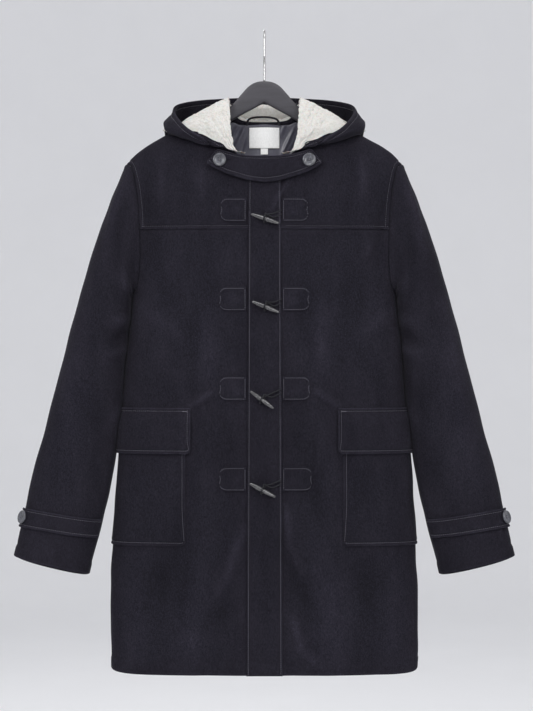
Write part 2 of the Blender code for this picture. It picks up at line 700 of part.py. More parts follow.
def build_button(name, seat, normal, horn):
    bpy.ops.mesh.primitive_cylinder_add(vertices=24, radius=BUTTON_RADIUS, depth=BUTTON_THICK)
    made = bpy.context.active_object
    made.name = name
    made.data.name = name
    made.location = seat + normal * BUTTON_THICK / 2
    made.rotation_euler = normal.to_track_quat("Z", "Y").to_euler()
    edge = made.modifiers.new("rounded_rim", "BEVEL")
    edge.width = 0.0012
    edge.segments = 2
    edge.limit_method = "ANGLE"
    made.data.materials.append(horn)
    bpy.context.collection.objects.unlink(made)
    COAT.objects.link(made)


# ---------------------------------------------------------------- hood and neck
def hood_cell(name, section):
    return lookup(HOOD_COLUMNS, HOOD_ROWS, name, section)


def hood_surface(u, v):
    """The hood's wool face: u from the left front end (-1) to the right (1), v from neck to rim."""
    hand = LEFT if u < 0 else RIGHT
    section = HOOD_SECTIONS * (1 - min(abs(u), 1.0))
    neck = shoulder_surface(hood_cell("neck_x", section), hood_cell("neck_arc", section))
    rest = shoulder_surface(hood_cell("rest_x", section), hood_cell("rest_arc", section))
    corners = [neck, rest] + [
        Vector([hood_cell(f"{name}_{axis}", section) for axis in "xyz"])
        for name in ("fold", "outer", "rim")
    ]
    rows = [(share, *corner) for share, corner in zip(HOOD_KNOTS, corners)]
    point = Vector([lookup(("share", "x", "y", "z"), rows, axis, v) for axis in "xyz"])
    return clear_of_coat(Vector((point.x * hand, point.y, point.z)), HOOD_REST)


def clear_of_coat(point, clearance):
    """Moves a point straight out of the coat to the stated clearance, where it is inside that."""
    side = FRONT if point.y < 0 else BACK
    middle_z = ridge_z(point.x) - SHOULDER_ROUND
    deep = coat_depth(point.x, point.z, side) + SEAM / 2 + clearance
    if point.z <= middle_z:
        return Vector((point.x, side * max(abs(point.y), deep), point.z))
    high = SHOULDER_ROUND + clearance
    reach = math.hypot(point.y / deep, (point.z - middle_z) / high)
    if reach >= 1.0:
        return point
    return Vector((point.x, point.y / reach, middle_z + (point.z - middle_z) / reach))


def build_hood(wool, pile):
    half = [1.0 - station / HOOD_SECTIONS for station in HOOD_STATIONS]
    around = [-place for place in half] + half[-2::-1]
    out = facing_out(hood_surface, 0.0, 0.8, HOOD_CORE)
    cloth("hood", hood_surface, around, HOOD_SHARES, -HOOD_WALL, 0.0, wool, out)
    inside = -HOOD_WALL - HOOD_GAP
    facing = [share for share in HOOD_SHARES if share >= FACING_FROM]
    cloth("hood_facing", hood_surface, around, facing, inside - BAND_WALL, inside, wool, out)
    lining = [share for share in HOOD_SHARES if share < FACING_FROM] + [FACING_FROM - 0.004]
    cloth("hood_pile", hood_surface, around, lining, inside - PILE_WALL, inside, pile, out)


def build_throat_tab(wool, horn):
    def edge(name, x):
        return lookup(TAB_COLUMNS, TAB_ROWS, name, abs(x))

    def surface(u, v):
        reach = TAB_ROWS[-1][0]
        x = lerp(-reach, reach, u)
        point = coat_point(x, lerp(edge("bottom", x), edge("top", x), v), FRONT)
        point.y -= TAB_LIFT
        return point

    out = facing_out(surface, 0.5, 0.5, BODY_CORE)
    cloth("throat_tab", surface, steps(16), steps(3), 0.0, OVERLAY + BAND_WALL, wool, out)
    for hand in (LEFT, RIGHT):
        place = 0.5 + THROAT_BUTTON[0] * hand / (2 * TAB_ROWS[-1][0])
        normal = surface_normal(surface, place, 0.5, out)
        seat = surface(place, 0.5) + normal * (OVERLAY + BAND_WALL + BUTTON_SEAT)
        build_button(f"throat_button_{SIDE_NAMES[hand]}", seat, normal, horn)


def build_neck_inside(satin, tape, cord):
    """Satin inside the back of the neck, its bare label and size tab, and the hang loop."""
    def lining_top(x):
        return lookup(LINING_COLUMNS, LINING_ROWS, "arc", abs(x)) + LINING_TOP_GAP

    def lining(u, v):
        x = lerp(-LINING_HALF_X, LINING_HALF_X, u)
        return shoulder_surface(x, lerp(LINING_BOTTOM_ARC, lining_top(x), v))

    def back_strip(half_x, top_z, bottom_z):
        def surface(u, v):
            return coat_point(lerp(-half_x, half_x, u), lerp(bottom_z, top_z, v), BACK)
        return surface

    out = facing_out(lining, 0.5, 0.5, BODY_CORE)
    satin_face = LINING_DEPTH + SATIN_WALL
    cloth("neck_lining", lining, steps(10), steps(5), -satin_face, -LINING_DEPTH, satin, out)
    label_back = satin_face + LABEL_GAP
    label = back_strip(LABEL_HALF_X, LABEL_TOP_Z, LABEL_BOTTOM_Z)
    cloth("label", label, steps(2), steps(2), -label_back - TAPE_WALL, -label_back, tape, out)
    size_tab = back_strip(SIZE_TAB_HALF_X, LABEL_BOTTOM_Z - SEAM, SIZE_TAB_BOTTOM_Z)
    cloth("size_tab", size_tab, steps(1), steps(1), -label_back - TAPE_WALL, -label_back, tape, out)
    route = [(x, HANG_LOOP_Y, z) for x, z in HANG_LOOP_ROUTE]
    wire("hang_loop", smooth_path(route, 3), HANG_LOOP_RADIUS, cord)


# ---------------------------------------------------------------- toggles and pockets
def build_patches(wool):
    for row, _x, _z, _tilt, middle_z, out_left, out_right in TOGGLE_ROWS:
        for hand, reach in ((LEFT, out_left), (RIGHT, out_right)):
            def surface(u, v):
                across = lerp(PATCH_INNER_X, reach, u)
                inset = corner_inset(reach - across, PATCH_CORNER)
                half = PATCH_HEIGHT / 2 - inset
                return coat_point(across * hand, middle_z + half * (2 * v - 1), FRONT)

            cloth(f"patch_{SIDE_NAMES[hand]}_{row}", surface, PATCH_SHARES, steps(2),
                  SEAM, SEAM + OVERLAY, wool, facing_out(surface, 0.5, 0.5, BODY_CORE))


def toggle_frame(row):
    """Centre, long direction, cross direction and outward direction of one toggle."""
    _row, x, z, tilt, *_patches = row
    seat = coat_point(x, z, FRONT)
    turn = math.radians(tilt)
    along = Vector((math.cos(turn), 0.0, -math.sin(turn)))
    outward = Vector((0.0, -1.0, 0.0))
    return seat + outward * TOGGLE_LIFT, along, outward.cross(along), outward


def build_toggles(horn, cord):
    """Each toggle is a turned spindle, waisted at the middle where its loop goes round."""
    for row in TOGGLE_ROWS:
        centre, along, cross, outward = toggle_frame(row)
        build_spindle(f"toggle_{row[0]}", centre, along, horn)
        build_loop(f"toggle_loop_{row[0]}", row, centre, along, cross, outward, cord)


def build_spindle(name, centre, along, horn):
    half = TOGGLE_LENGTH / 2
    made = bmesh.new()
    profile = [made.verts.new((TOGGLE_RADIUS * wide, 0.0, half * place)) for place, wide in SPINDLE_PROFILE]
    for start, end in zip(profile, profile[1:]):
        made.edges.new((start, end))
    mesh = bpy.data.meshes.new(name)
    made.to_mesh(mesh)
    made.free()
    mesh.materials.append(horn)
    spindle = bpy.data.objects.new(name, mesh)
    COAT.objects.link(spindle)
    turned = spindle.modifiers.new("turned", "SCREW")
    turned.axis = "Z"
    turned.steps = SPINDLE_SIDES
    turned.render_steps = SPINDLE_SIDES
    turned.use_merge_vertices = True
    turned.merge_threshold = MERGE_DISTANCE
    turned.use_smooth_shade = True
    spindle.location = centre
    spindle.rotation_euler = along.to_track_quat("Z", "Y").to_euler()


def build_loop(name, row, centre, along, cross, outward, cord):
    """A loop of cord from the right patch, under the toggle, over its waist and back."""
    low = cross if cross.z < 0 else -cross
    under = TOGGLE_LIFT - SEAM * 2 - WALL - LOOP_CORD_RADIUS - 0.0001
    over = TOGGLE_RADIUS * SPINDLE_WAIST + LOOP_CORD_RADIUS + LOOP_SLACK
    beside = over + LOOP_SLACK
    pair = LOOP_CORD_RADIUS + LOOP_SLACK
    gap = LOOP_HALF_SPREAD
    start_z = row[4] - LOOP_DROP
    halfway_x, halfway_z = lerp(LOOP_START_X, centre.x, 0.5), lerp(start_z, centre.z, 0.5)

    def on_placket(x, z):
        return coat_point(x, z, FRONT) + outward * (TOGGLE_LIFT - under)

    route = [
        on_placket(LOOP_START_X, start_z + gap),
        on_placket(halfway_x, halfway_z + gap),
        centre - low * 0.0085 - outward * under + along * pair,
        centre - outward * (under - 0.0002) + along * pair,
        centre + low * (beside + 0.0012) - outward * (under * 0.55) + along * pair,
        centre + low * beside + outward * 0.0005,
        centre + low * (over * 0.72) + outward * (over * 0.78) - along * pair * 0.4,
        centre + outward * over - along * pair,
        centre - low * (over * 0.74) + outward * (over * 0.74) - along * pair,
        centre - low * (beside + 0.0006) - outward * (under * 0.35) - along * pair,
        centre - low * 0.0095 - outward * under - along * pair,
        on_placket(halfway_x, halfway_z - gap),
        on_placket(LOOP_START_X, start_z - gap),
    ]
    wire(name, smooth_path(route, 2), LOOP_CORD_RADIUS, cord)


def build_pockets(wool):
    for hand in (LEFT, RIGHT):
        name = SIDE_NAMES[hand]

        def pocket(inner_x, top_z, bottom_z, corner):
            """u is a share of the front panel's width, so the two meet fold for fold."""
            def surface(u, v):
                level = lerp(bottom_z, top_z, v)
                turn = lerp(turn_of(FRONT_LAP_X, level), math.pi / 2, u)
                x = max(section_point(turn, level, FRONT).x, inner_x)
                if u < POCKET_SHARE:
                    x = inner_x + corner * u / POCKET_SHARE
                level += corner_inset(x - inner_x, corner) * max(1 - v * 3, 0.0)
                point = section_point(turn_of(x, level), level, FRONT)
                return Vector((point.x * hand, point.y, point.z))
            return surface

        columns = [0.0, 0.06, 0.15, POCKET_SHARE] + [share for share in FRONT_SHARES if 0.4 < share < 1.0]
        bag = pocket(POCKET_INNER_X, POCKET_TOP_Z, POCKET_BOTTOM_Z, POCKET_CORNER)
        out = facing_out(bag, 0.6, 0.5, BODY_CORE)
        cloth(f"pocket_{name}", bag, columns, steps(5), POCKET_GAP, POCKET_GAP + OVERLAY, wool, out)
        flap = pocket(FLAP_INNER_X, FLAP_TOP_Z, FLAP_BOTTOM_Z, POCKET_CORNER)
        low = POCKET_GAP + OVERLAY + SEAM
        cloth(f"flap_{name}", flap, columns, steps(2), low, low + OVERLAY, wool, out)


# ---------------------------------------------------------------- hanger
def build_hanger(wood, chrome):
    """A shaped wooden hanger: rounded sections from one arm's end to the other."""
    reach = HANGER_ROWS[-1][0]
    stations = [*HANGER_STATIONS, reach]
    stations = [-x for x in reversed(stations[1:])] + stations
    sides = HANGER_SIDES
    made = bmesh.new()
    rings = []
    for x in stations:
        top, bottom, thick = (lookup(HANGER_COLUMNS, HANGER_ROWS, name, abs(x))
                              for name in ("top", "bottom", "half_thick"))
        middle, half = (top + bottom) / 2, (top - bottom) / 2
        rings.append([
            made.verts.new((
                x,
                thick * signed_power(math.sin(turn), HANGER_SQUARE),
                middle + half * signed_power(math.cos(turn), HANGER_SQUARE),
            ))
            for turn in steps(sides, 0.0, 2 * math.pi)[:-1]
        ])
    for start, end in zip(rings, rings[1:]):
        for index in range(sides):
            after = (index + 1) % sides
            made.faces.new((start[index], start[after], end[after], end[index]))
    for ring in (rings[0], rings[-1]):
        made.faces.new(ring)
    finish_mesh("hanger_body", made, wood)

    centre = -HOOK_INNER_RADIUS
    radius = HOOK_INNER_RADIUS + HOOK_WIRE_RADIUS
    stem = smooth_path(HOOK_STEM_ROUTE, 4)[:-1]
    crown = [(0.0, radius * math.cos(turn), centre + radius * math.sin(turn))
             for turn in steps(14, 0.0, math.pi)]
    tip = [(0.0, -radius, centre - drop) for drop in HOOK_TIP_DROPS]
    wire("hanger_hook", [*stem, *crown, *tip], HOOK_WIRE_RADIUS, chrome)


def build_coat():
    wool = material("navy_wool", (0.027, 0.026, 0.037), 0.9)
    pile = material("cream_pile", (0.82, 0.80, 0.73), 0.95)
    satin = material("slate_satin", (0.06, 0.055, 0.075), 0.4)
    tape = material("white_tape", (0.85, 0.85, 0.83), 0.8)
    horn = material("dark_horn", (0.05, 0.05, 0.06), 0.3)
    cord = material("dark_cord", (0.015, 0.015, 0.02), 0.7)
    wood = material("charcoal_wood", (0.035, 0.034, 0.038), 0.5)
    chrome = material("bright_wire", (0.8, 0.8, 0.8), 0.15, 1.0)
    build_fronts(wool)
    build_back(wool)
    build_placket(wool)
    build_sleeves(wool, satin)
    build_cuff_tabs(wool, horn)
    build_hood(wool, pile)
    build_throat_tab(wool, horn)
    build_neck_inside(satin, tape, cord)
    build_patches(wool)
    build_toggles(horn, cord)
    build_pockets(wool)
    build_hanger(wood, chrome)


COAT = start_collection("duffle_coat_on_hanger")
build_coat()
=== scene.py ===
"""The looks of a hooded duffle coat on a shaped wooden hanger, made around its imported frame.

Metres, +Z up, the fronts face -Y. Each cloth piece is a thin shell over the same worked-out
surface as its solid, with its folds, seams and stitching added as height above that surface.
"""
import math

import bpy
import numpy as np
from bpy.props import FloatProperty, FloatVectorProperty, PointerProperty
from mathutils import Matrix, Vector


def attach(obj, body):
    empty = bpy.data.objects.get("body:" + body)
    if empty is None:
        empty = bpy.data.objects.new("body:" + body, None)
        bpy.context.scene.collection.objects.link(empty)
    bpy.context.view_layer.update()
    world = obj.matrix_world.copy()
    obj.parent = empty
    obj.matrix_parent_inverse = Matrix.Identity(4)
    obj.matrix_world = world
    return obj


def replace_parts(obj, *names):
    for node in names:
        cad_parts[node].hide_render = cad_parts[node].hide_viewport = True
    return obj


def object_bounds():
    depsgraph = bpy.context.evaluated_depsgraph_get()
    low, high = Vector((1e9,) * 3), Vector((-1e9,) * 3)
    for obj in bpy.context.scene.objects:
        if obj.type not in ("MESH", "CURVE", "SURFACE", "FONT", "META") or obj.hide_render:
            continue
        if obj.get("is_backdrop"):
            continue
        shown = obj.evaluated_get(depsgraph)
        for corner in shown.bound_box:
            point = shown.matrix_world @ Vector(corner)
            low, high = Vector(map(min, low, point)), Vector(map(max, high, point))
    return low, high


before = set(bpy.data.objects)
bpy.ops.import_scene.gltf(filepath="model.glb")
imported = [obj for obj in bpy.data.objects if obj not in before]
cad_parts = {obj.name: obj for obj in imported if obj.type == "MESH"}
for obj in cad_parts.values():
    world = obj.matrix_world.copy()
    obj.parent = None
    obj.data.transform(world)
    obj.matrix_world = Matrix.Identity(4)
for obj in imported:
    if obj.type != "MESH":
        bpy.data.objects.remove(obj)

bl_info = {
    "name": "Duffle coat on a hanger",
    "version": (1, 0, 0),
    "blender": (4, 5, 0),
    "location": "View3D > Sidebar > Coat",
    "description": "Makes the cloth, trims, hanger and studio of a duffle coat around its frame",
    "category": "Object",
}

# ---------------------------------------------------------------- sizes shared with the solids
SEAM = 0.0003
WALL = 0.0026
OVERLAY = 0.0022
SATIN_WALL = 0.0010
TAPE_WALL = 0.0006
SECTION_POWER = 2.8
SLEEVE_POWER = 2.3
SHOULDER_ROUND = 0.060
SHOULDER_ARC = 0.072
HEM_Z = -1.0945
HEM_SIDE_RISE = 0.009
YOKE_Z = -0.3410
UNDERARM = (0.2250, -0.4460)
SHOULDER_POINT = (0.2355, -0.2275)
ARMHOLE_BOW = 0.0180
ARMHOLE_GAP = 0.0008
FRONT_LAP_X = 0.0240
PLACKET_LEFT_X = -0.0268
PLACKET_RIGHT_X = 0.0278
PLACKET_TOP_Z = -0.2240
PLACKET_SPREAD = 0.11

BODY_COLUMNS = ("z", "half_width", "front", "back")
BODY_ROWS = (
    (-1.1100, 0.2600, 0.0500, 0.0480),
    (-1.0600, 0.2627, 0.0520, 0.0490),
    (-0.9700, 0.2632, 0.0530, 0.0500),
    (-0.9000, 0.2605, 0.0530, 0.0500),
    (-0.8500, 0.2570, 0.0530, 0.0500),
    (-0.7750, 0.2510, 0.0530, 0.0500),
    (-0.7000, 0.2465, 0.0525, 0.0500),
    (-0.6000, 0.2400, 0.0520, 0.0500),
    (-0.5200, 0.2325, 0.0520, 0.0500),
    (-0.4460, 0.2250, 0.0510, 0.0490),
    (-0.3400, 0.2330, 0.0470, 0.0450),
    (-0.2300, 0.2450, 0.0380, 0.0370),
    (-0.1000, 0.2500, 0.0310, 0.0310),
)
RIDGE_COLUMNS = ("x", "z")
RIDGE_ROWS = (
    (0.0000, -0.0980),
    (0.0620, -0.1255),
    (0.1180, -0.1530),
    (0.1790, -0.1835),
    (0.2150, -0.2055),
    (0.2355, -0.2275),
    (0.2600, -0.2620),
)
NECK_COLUMNS = ("along", "x", "arc")
NECK_ROWS = (
    (0.00, 0.0000, -0.1320),
    (0.10, 0.0300, -0.1200),
    (0.20, 0.0470, -0.1050),
    (0.30, 0.0560, -0.0850),
    (0.40, 0.0595, -0.0570),
    (0.50, 0.0615, -0.0260),
    (0.58, 0.0620, 0.0000),
    (0.66, 0.0605, 0.0210),
    (0.74, 0.0550, 0.0360),
    (0.84, 0.0430, 0.0500),
    (0.92, 0.0240, 0.0590),
    (1.00, 0.0000, 0.0665),
)
NECK_TOP = 0.58
NECK_POINT_X = 0.0620
FRONT_LAP_ALONG = 0.08
NECK_COLUMNS_SHARE = 0.42
RIDGE_GAP = 0.0002

SLEEVE_COLUMNS = ("step", "outer_x", "outer_z", "inner_x", "inner_z", "mid_y", "front", "back")
SLEEVE_ROWS = (
    (0.0, 0.2355, -0.2275, 0.2250, -0.4460, 0.000, 0.0300, 0.0300),
    (1.0, 0.2475, -0.2470, 0.2256, -0.4510, 0.000, 0.0370, 0.0370),
    (2.0, 0.2620, -0.2860, 0.2261, -0.4590, 0.001, 0.0430, 0.0430),
    (3.0, 0.2795, -0.3350, 0.2275, -0.4740, 0.002, 0.0460, 0.0470),
    (4.0, 0.3000, -0.3980, 0.2300, -0.4980, 0.003, 0.0480, 0.0490),
    (5.0, 0.3195, -0.4650, 0.2333, -0.5330, 0.004, 0.0490, 0.0500),
    (6.0, 0.3385, -0.5350, 0.2378, -0.5840, 0.003, 0.0480, 0.0490),
    (7.0, 0.3575, -0.6090, 0.2440, -0.6480, 0.000, 0.0460, 0.0460),
    (8.0, 0.3770, -0.6870, 0.2535, -0.7190, -0.006, 0.0430, 0.0430),
    (9.0, 0.3950, -0.7600, 0.2640, -0.7880, -0.014, 0.0400, 0.0400),
    (10.0, 0.4075, -0.8180, 0.2775, -0.8440, -0.021, 0.0380, 0.0370),
    (11.0, 0.4245, -0.8930, 0.2975, -0.9230, -0.031, 0.0370, 0.0360),
)
SLEEVE_STEPS = 11.0
SLEEVE_HEAD = 2.2
CUFF_BACK_DROP = 0.013

HOOD_COLUMNS = (
    "section", "neck_x", "neck_arc", "rest_x", "rest_arc",
    "fold_x", "fold_y", "fold_z", "outer_x", "outer_y", "outer_z", "rim_x", "rim_y", "rim_z",
)
HOOD_ROWS = (
    (0, 0.0360, -0.1100, 0.0400, -0.1075,
     0.0437, -0.0402, -0.2105, 0.0467, -0.0408, -0.2098, 0.0500, -0.0414, -0.2090),
    (1, 0.0500, -0.1000, 0.0550, -0.0965,
     0.0600, -0.0405, -0.2062, 0.0635, -0.0412, -0.2055, 0.0675, -0.0418, -0.2045),
    (2, 0.0580, -0.0760, 0.0665, -0.0753,
     0.0745, -0.0415, -0.1960, 0.0800, -0.0425, -0.1990, 0.0862, -0.0440, -0.2012),
    (3, 0.0597, -0.0540, 0.0820, -0.0600,
     0.1035, -0.0445, -0.1968, 0.1095, -0.0515, -0.1935, 0.1072, -0.0550, -0.1860),
    (4, 0.0610, -0.0320, 0.0980, -0.0380,
     0.1330, -0.0390, -0.1885, 0.1405, -0.0455, -0.1790, 0.1310, -0.0465, -0.1690),
    (5, 0.0618, -0.0100, 0.1120, -0.0120,
     0.1570, -0.0170, -0.1800, 0.1650, -0.0210, -0.1610, 0.1470, -0.0190, -0.1495),
    (6, 0.0612, 0.0120, 0.1180, 0.0280,
     0.1640, 0.0230, -0.1900, 0.1710, 0.0180, -0.1560, 0.1560, 0.0120, -0.1320),
    (7, 0.0560, 0.0330, 0.1120, 0.0850,
     0.1560, 0.0660, -0.2300, 0.1690, 0.0660, -0.1800, 0.1500, 0.0420, -0.1180),
    (8, 0.0430, 0.0500, 0.0850, 0.1400,
     0.1200, 0.0820, -0.3200, 0.1420, 0.1050, -0.2200, 0.1180, 0.0660, -0.1080),
    (9, 0.0240, 0.0590, 0.0480, 0.1750,
     0.0650, 0.0900, -0.3850, 0.0800, 0.1260, -0.2550, 0.0650, 0.0820, -0.1020),
    (10, 0.0000, 0.0665, 0.0000, 0.1900,
     0.0000, 0.0930, -0.4050, 0.0000, 0.1320, -0.2650, 0.0000, 0.0880, -0.0985),
)
HOOD_SECTIONS = 10.0
HOOD_CORE = (0.0, 0.100, -0.250)
HOOD_REST = 0.0054
HOOD_WALL = 0.0018
HOOD_GAP = 0.0004
HOOD_KNOTS = (0.0, 0.26, 0.50, 0.72, 1.0)
FACING_WALL = 0.0014
FACING_WIDTH = 0.034

# Where the wool facing begins on each hood section, as a share of the way from neck to rim.
FACING_COLUMNS = ("section", "start")
FACING_ROWS = (
    (0, 0.40), (1, 0.40), (2, 0.40), (3, 0.36), (4, 0.38), (5, 0.50),
    (6, 0.70), (7, 0.83), (8, 0.94), (9, 0.965), (10, 0.97),
)

TAB_COLUMNS = ("x", "top", "bottom")
TAB_ROWS = (
    (0.0000, -0.2175, -0.2625),
    (0.0260, -0.2168, -0.2590),
    (0.0480, -0.2140, -0.2525),
    (0.0640, -0.2098, -0.2475),
    (0.0775, -0.2062, -0.2415),
    (0.0820, -0.2085, -0.2394),
    (0.0900, -0.2185, -0.2347),
    (0.0966, -0.2262, -0.2298),
)
TAB_LIFT = 0.0060
TAB_WALL = 0.0036

# Number, the centre's x and z, tilt in degrees, the patches' height and how far each reaches.
TOGGLE_ROWS = (
    (1, 0.0010, -0.3245, 18.5, -0.3086, 0.0740, 0.0740),
    (2, 0.0020, -0.4730, 21.8, -0.4594, 0.0755, 0.0755),
    (3, -0.0040, -0.6290, 36.5, -0.6102, 0.0755, 0.0765),
    (4, -0.0030, -0.7808, 27.7, -0.7629, 0.0760, 0.0800),
)
PATCH_INNER_X = 0.0303
PATCH_HEIGHT = 0.0400
PATCH_CORNER = 0.0120
PATCH_STEP = 0.0024
TOGGLE_LENGTH = 0.0490
TOGGLE_RADIUS = 0.0041
TOGGLE_LIFT = 0.0101
LOOP_CORD_RADIUS = 0.0012
LOOP_START_X = 0.0290
LOOP_DROP = 0.0040            # how far below the patch's middle the loop starts
LOOP_SLACK = 0.0004           # air between the cord and what it passes
LOOP_HALF_SPREAD = 0.0032
SPINDLE_WAIST = 0.80

POCKET_INNER_X = 0.1330
POCKET_BOTTOM_Z = -0.8765
POCKET_TOP_Z = -0.6560
POCKET_CORNER = 0.0080
FLAP_INNER_X = 0.1240
FLAP_TOP_Z = -0.6430
FLAP_BOTTOM_Z = -0.7210
POCKET_FULLNESS = 0.0022
FLAP_LOOSENESS = 0.0020

BUTTON_RADIUS = 0.0113
BUTTON_THICK = 0.0042
BUTTON_SEAT = 0.0006
THROAT_BUTTON_X = 0.0755
CUFF_TAB_HALF = 0.0205
TAB_START_TURN = 0.455
TAB_END_TURN = -0.085
TAB_START_ALONG = 0.9120
TAB_END_ALONG = 0.9260
TAB_POINT_FROM = 0.86
TAB_BUTTON_TURN = 0.0700
CUFF_LINING_SPAN = (0.905, 0.996)

LINING_COLUMNS = ("x", "arc")
LINING_ROWS = (
    (0.000, 0.0680),
    (0.025, 0.0605),
    (0.044, 0.0530),
    (0.056, 0.0450),
    (0.100, 0.0450),
)
LINING_HALF_X = 0.1000
LINING_TOP_GAP = 0.0010
LINING_BOTTOM_ARC = 0.2450
LINING_DEPTH = 0.0052
LABEL_HALF_X = 0.0262
LABEL_TOP_Z = -0.1600
LABEL_BOTTOM_Z = -0.1960
LABEL_GAP = 0.0008
LABEL_STITCH = 0.0014
SIZE_TAB_HALF_X = 0.0063
SIZE_TAB_BOTTOM_Z = -0.2065
HANG_LOOP_Y = 0.0210
HANG_LOOP_RADIUS = 0.0019
HANG_LOOP_ROUTE = (
    (-0.0300, -0.1570), (-0.0270, -0.1475), (-0.0150, -0.1435),
    (0.0080, -0.1435), (0.0220, -0.1475), (0.0260, -0.1570),
)

HOOK_INNER_RADIUS = 0.0190
HOOK_WIRE_RADIUS = 0.0020
HOOK_TIP_DROP = 0.0290
HOOK_STEM_ROUTE = (
    (0.0, 0.0, -0.0838), (0.0, 0.0, -0.0700), (0.0, 0.0010, -0.0600), (0.0, 0.0090, -0.0480),
    (0.0, 0.0180, -0.0360), (0.0, 0.0210, -0.0190),
)
HANGER_COLUMNS = ("x", "top", "bottom", "half_thick")
HANGER_ROWS = (
    (0.0000, -0.0845, -0.1215, 0.0068),
    (0.0130, -0.0862, -0.1285, 0.0068),
    (0.0260, -0.0930, -0.1355, 0.0069),
    (0.0400, -0.1080, -0.1430, 0.0070),
    (0.0500, -0.1200, -0.1490, 0.0072),
    (0.0640, -0.1325, -0.1570, 0.0075),
    (0.1000, -0.1508, -0.1720, 0.0084),
    (0.1500, -0.1765, -0.1960, 0.0095),
    (0.1900, -0.1980, -0.2150, 0.0100),
    (0.2080, -0.2095, -0.2240, 0.0090),
    (0.2140, -0.2155, -0.2250, 0.0050),
)

# ---------------------------------------------------------------- folds and creases
# Each is a soft line on the cloth, from x and z to x and z, then its spread and height:
# a ridge where the height is above 0, a trough below.
FRONT_FOLDS = (
    (0.036, -0.812, 0.044, -0.880, 0.0065, 0.0030),
    (0.044, -0.880, 0.064, -0.930, 0.0065, 0.0034),
    (0.048, -0.995, 0.060, -1.045, 0.0070, 0.0028),
    (0.060, -1.045, 0.088, -1.078, 0.0070, 0.0026),
    (0.040, -0.870, 0.075, -1.000, 0.0170, -0.0026),
    (-0.035, -0.845, -0.064, -0.928, 0.0070, 0.0030),
    (-0.060, -0.925, -0.085, -0.960, 0.0080, 0.0012),
    (-0.060, -0.985, -0.100, -1.010, 0.0160, -0.0016),
    (-0.120, -1.020, -0.130, -1.050, 0.0140, 0.0016),
    (0.155, -0.900, 0.190, -0.975, 0.0300, -0.0020),
    (-0.155, -0.895, -0.195, -0.975, 0.0300, -0.0022),
    (-0.097, -0.470, -0.094, -0.600, 0.0150, 0.0020),
    (0.095, -0.480, 0.098, -0.590, 0.0150, 0.0018),
    (-0.124, -0.640, -0.084, -0.614, 0.0045, 0.0024),
    (0.124, -0.642, 0.086, -0.612, 0.0045, 0.0024),
    (-0.060, -0.650, -0.075, -0.800, 0.0260, -0.0010),
    (0.070, -0.680, 0.078, -0.820, 0.0260, -0.0010),
    (0.041, -0.258, 0.012, -0.309, 0.0045, 0.0018),
    (-0.176, -0.228, -0.178, -0.290, 0.0080, 0.0014),
    (-0.108, -0.235, -0.106, -0.290, 0.0070, 0.0010),
    (0.167, -0.222, 0.168, -0.290, 0.0080, 0.0016),
    (0.205, -0.262, 0.188, -0.400, 0.0120, -0.0016),
    (-0.205, -0.262, -0.190, -0.400, 0.0120, -0.0016),
    (0.182, -0.366, 0.168, -0.395, 0.0060, 0.0012),
    (-0.215, -0.470, -0.150, -0.520, 0.0140, 0.0014),
    (0.216, -0.480, 0.160, -0.525, 0.0140, 0.0014),
    (0.105, -0.900, 0.118, -1.094, 0.0320, 0.0018),
    (-0.112, -0.930, -0.128, -1.094, 0.0300, 0.0012),
    (0.210, -0.900, 0.222, -1.090, 0.0260, 0.0012),
    (-0.208, -0.900, -0.224, -1.090, 0.0260, 0.0012),
)
BACK_FOLDS = (
    (-0.070, -0.420, -0.062, -0.700, 0.0300, 0.0030),
    (0.078, -0.440, 0.070, -0.720, 0.0300, 0.0026),
    (-0.120, -0.780, -0.138, -1.094, 0.0330, 0.0040),
    (0.128, -0.800, 0.140, -1.094, 0.0330, 0.0038),
    (0.000, -0.620, 0.004, -1.094, 0.0260, 0.0024),
    (-0.062, -0.850, -0.070, -1.094, 0.0260, -0.0034),
    (0.064, -0.830, 0.076, -1.094, 0.0260, -0.0032),
    (-0.196, -0.330, -0.120, -0.440, 0.0160, 0.0020),
    (0.192, -0.345, 0.125, -0.450, 0.0160, 0.0018),
    (-0.214, -0.440, -0.140, -0.500, 0.0140, 0.0016),
    (0.212, -0.450, 0.150, -0.515, 0.0140, 0.0016),
    (-0.205, -0.860, -0.222, -1.090, 0.0260, 0.0024),
    (0.204, -0.880, 0.220, -1.090, 0.0260, 0.0024),
)
# On a sleeve: place round it (0 outer edge, 0.25 front, 0.5 inner edge) and along it.
SLEEVE_FOLDS = (
    (0.10, 0.06, 0.16, 0.30, 0.0110, 0.0022),
    (0.20, 0.10, 0.30, 0.34, 0.0130, -0.0022),
    (0.40, 0.16, 0.27, 0.30, 0.0120, 0.0022),
    (0.46, 0.34, 0.30, 0.44, 0.0120, 0.0022),
    (0.47, 0.47, 0.30, 0.53, 0.0110, 0.0020),
    (0.44, 0.41, 0.32, 0.49, 0.0100, -0.0020),
    (0.14, 0.44, 0.20, 0.80, 0.0200, 0.0018),
    (0.46, 0.62, 0.34, 0.70, 0.0120, 0.0016),
    (0.34, 0.60, 0.36, 0.86, 0.0150, -0.0016),
    (0.60, 0.20, 0.72, 0.36, 0.0130, 0.0024),
    (0.56, 0.38, 0.70, 0.47, 0.0120, 0.0024),
    (0.55, 0.48, 0.70, 0.56, 0.0120, 0.0020),
    (0.80, 0.50, 0.84, 0.86, 0.0180, 0.0020),
    (0.90, 0.08, 0.86, 0.34, 0.0140, -0.0020),
)
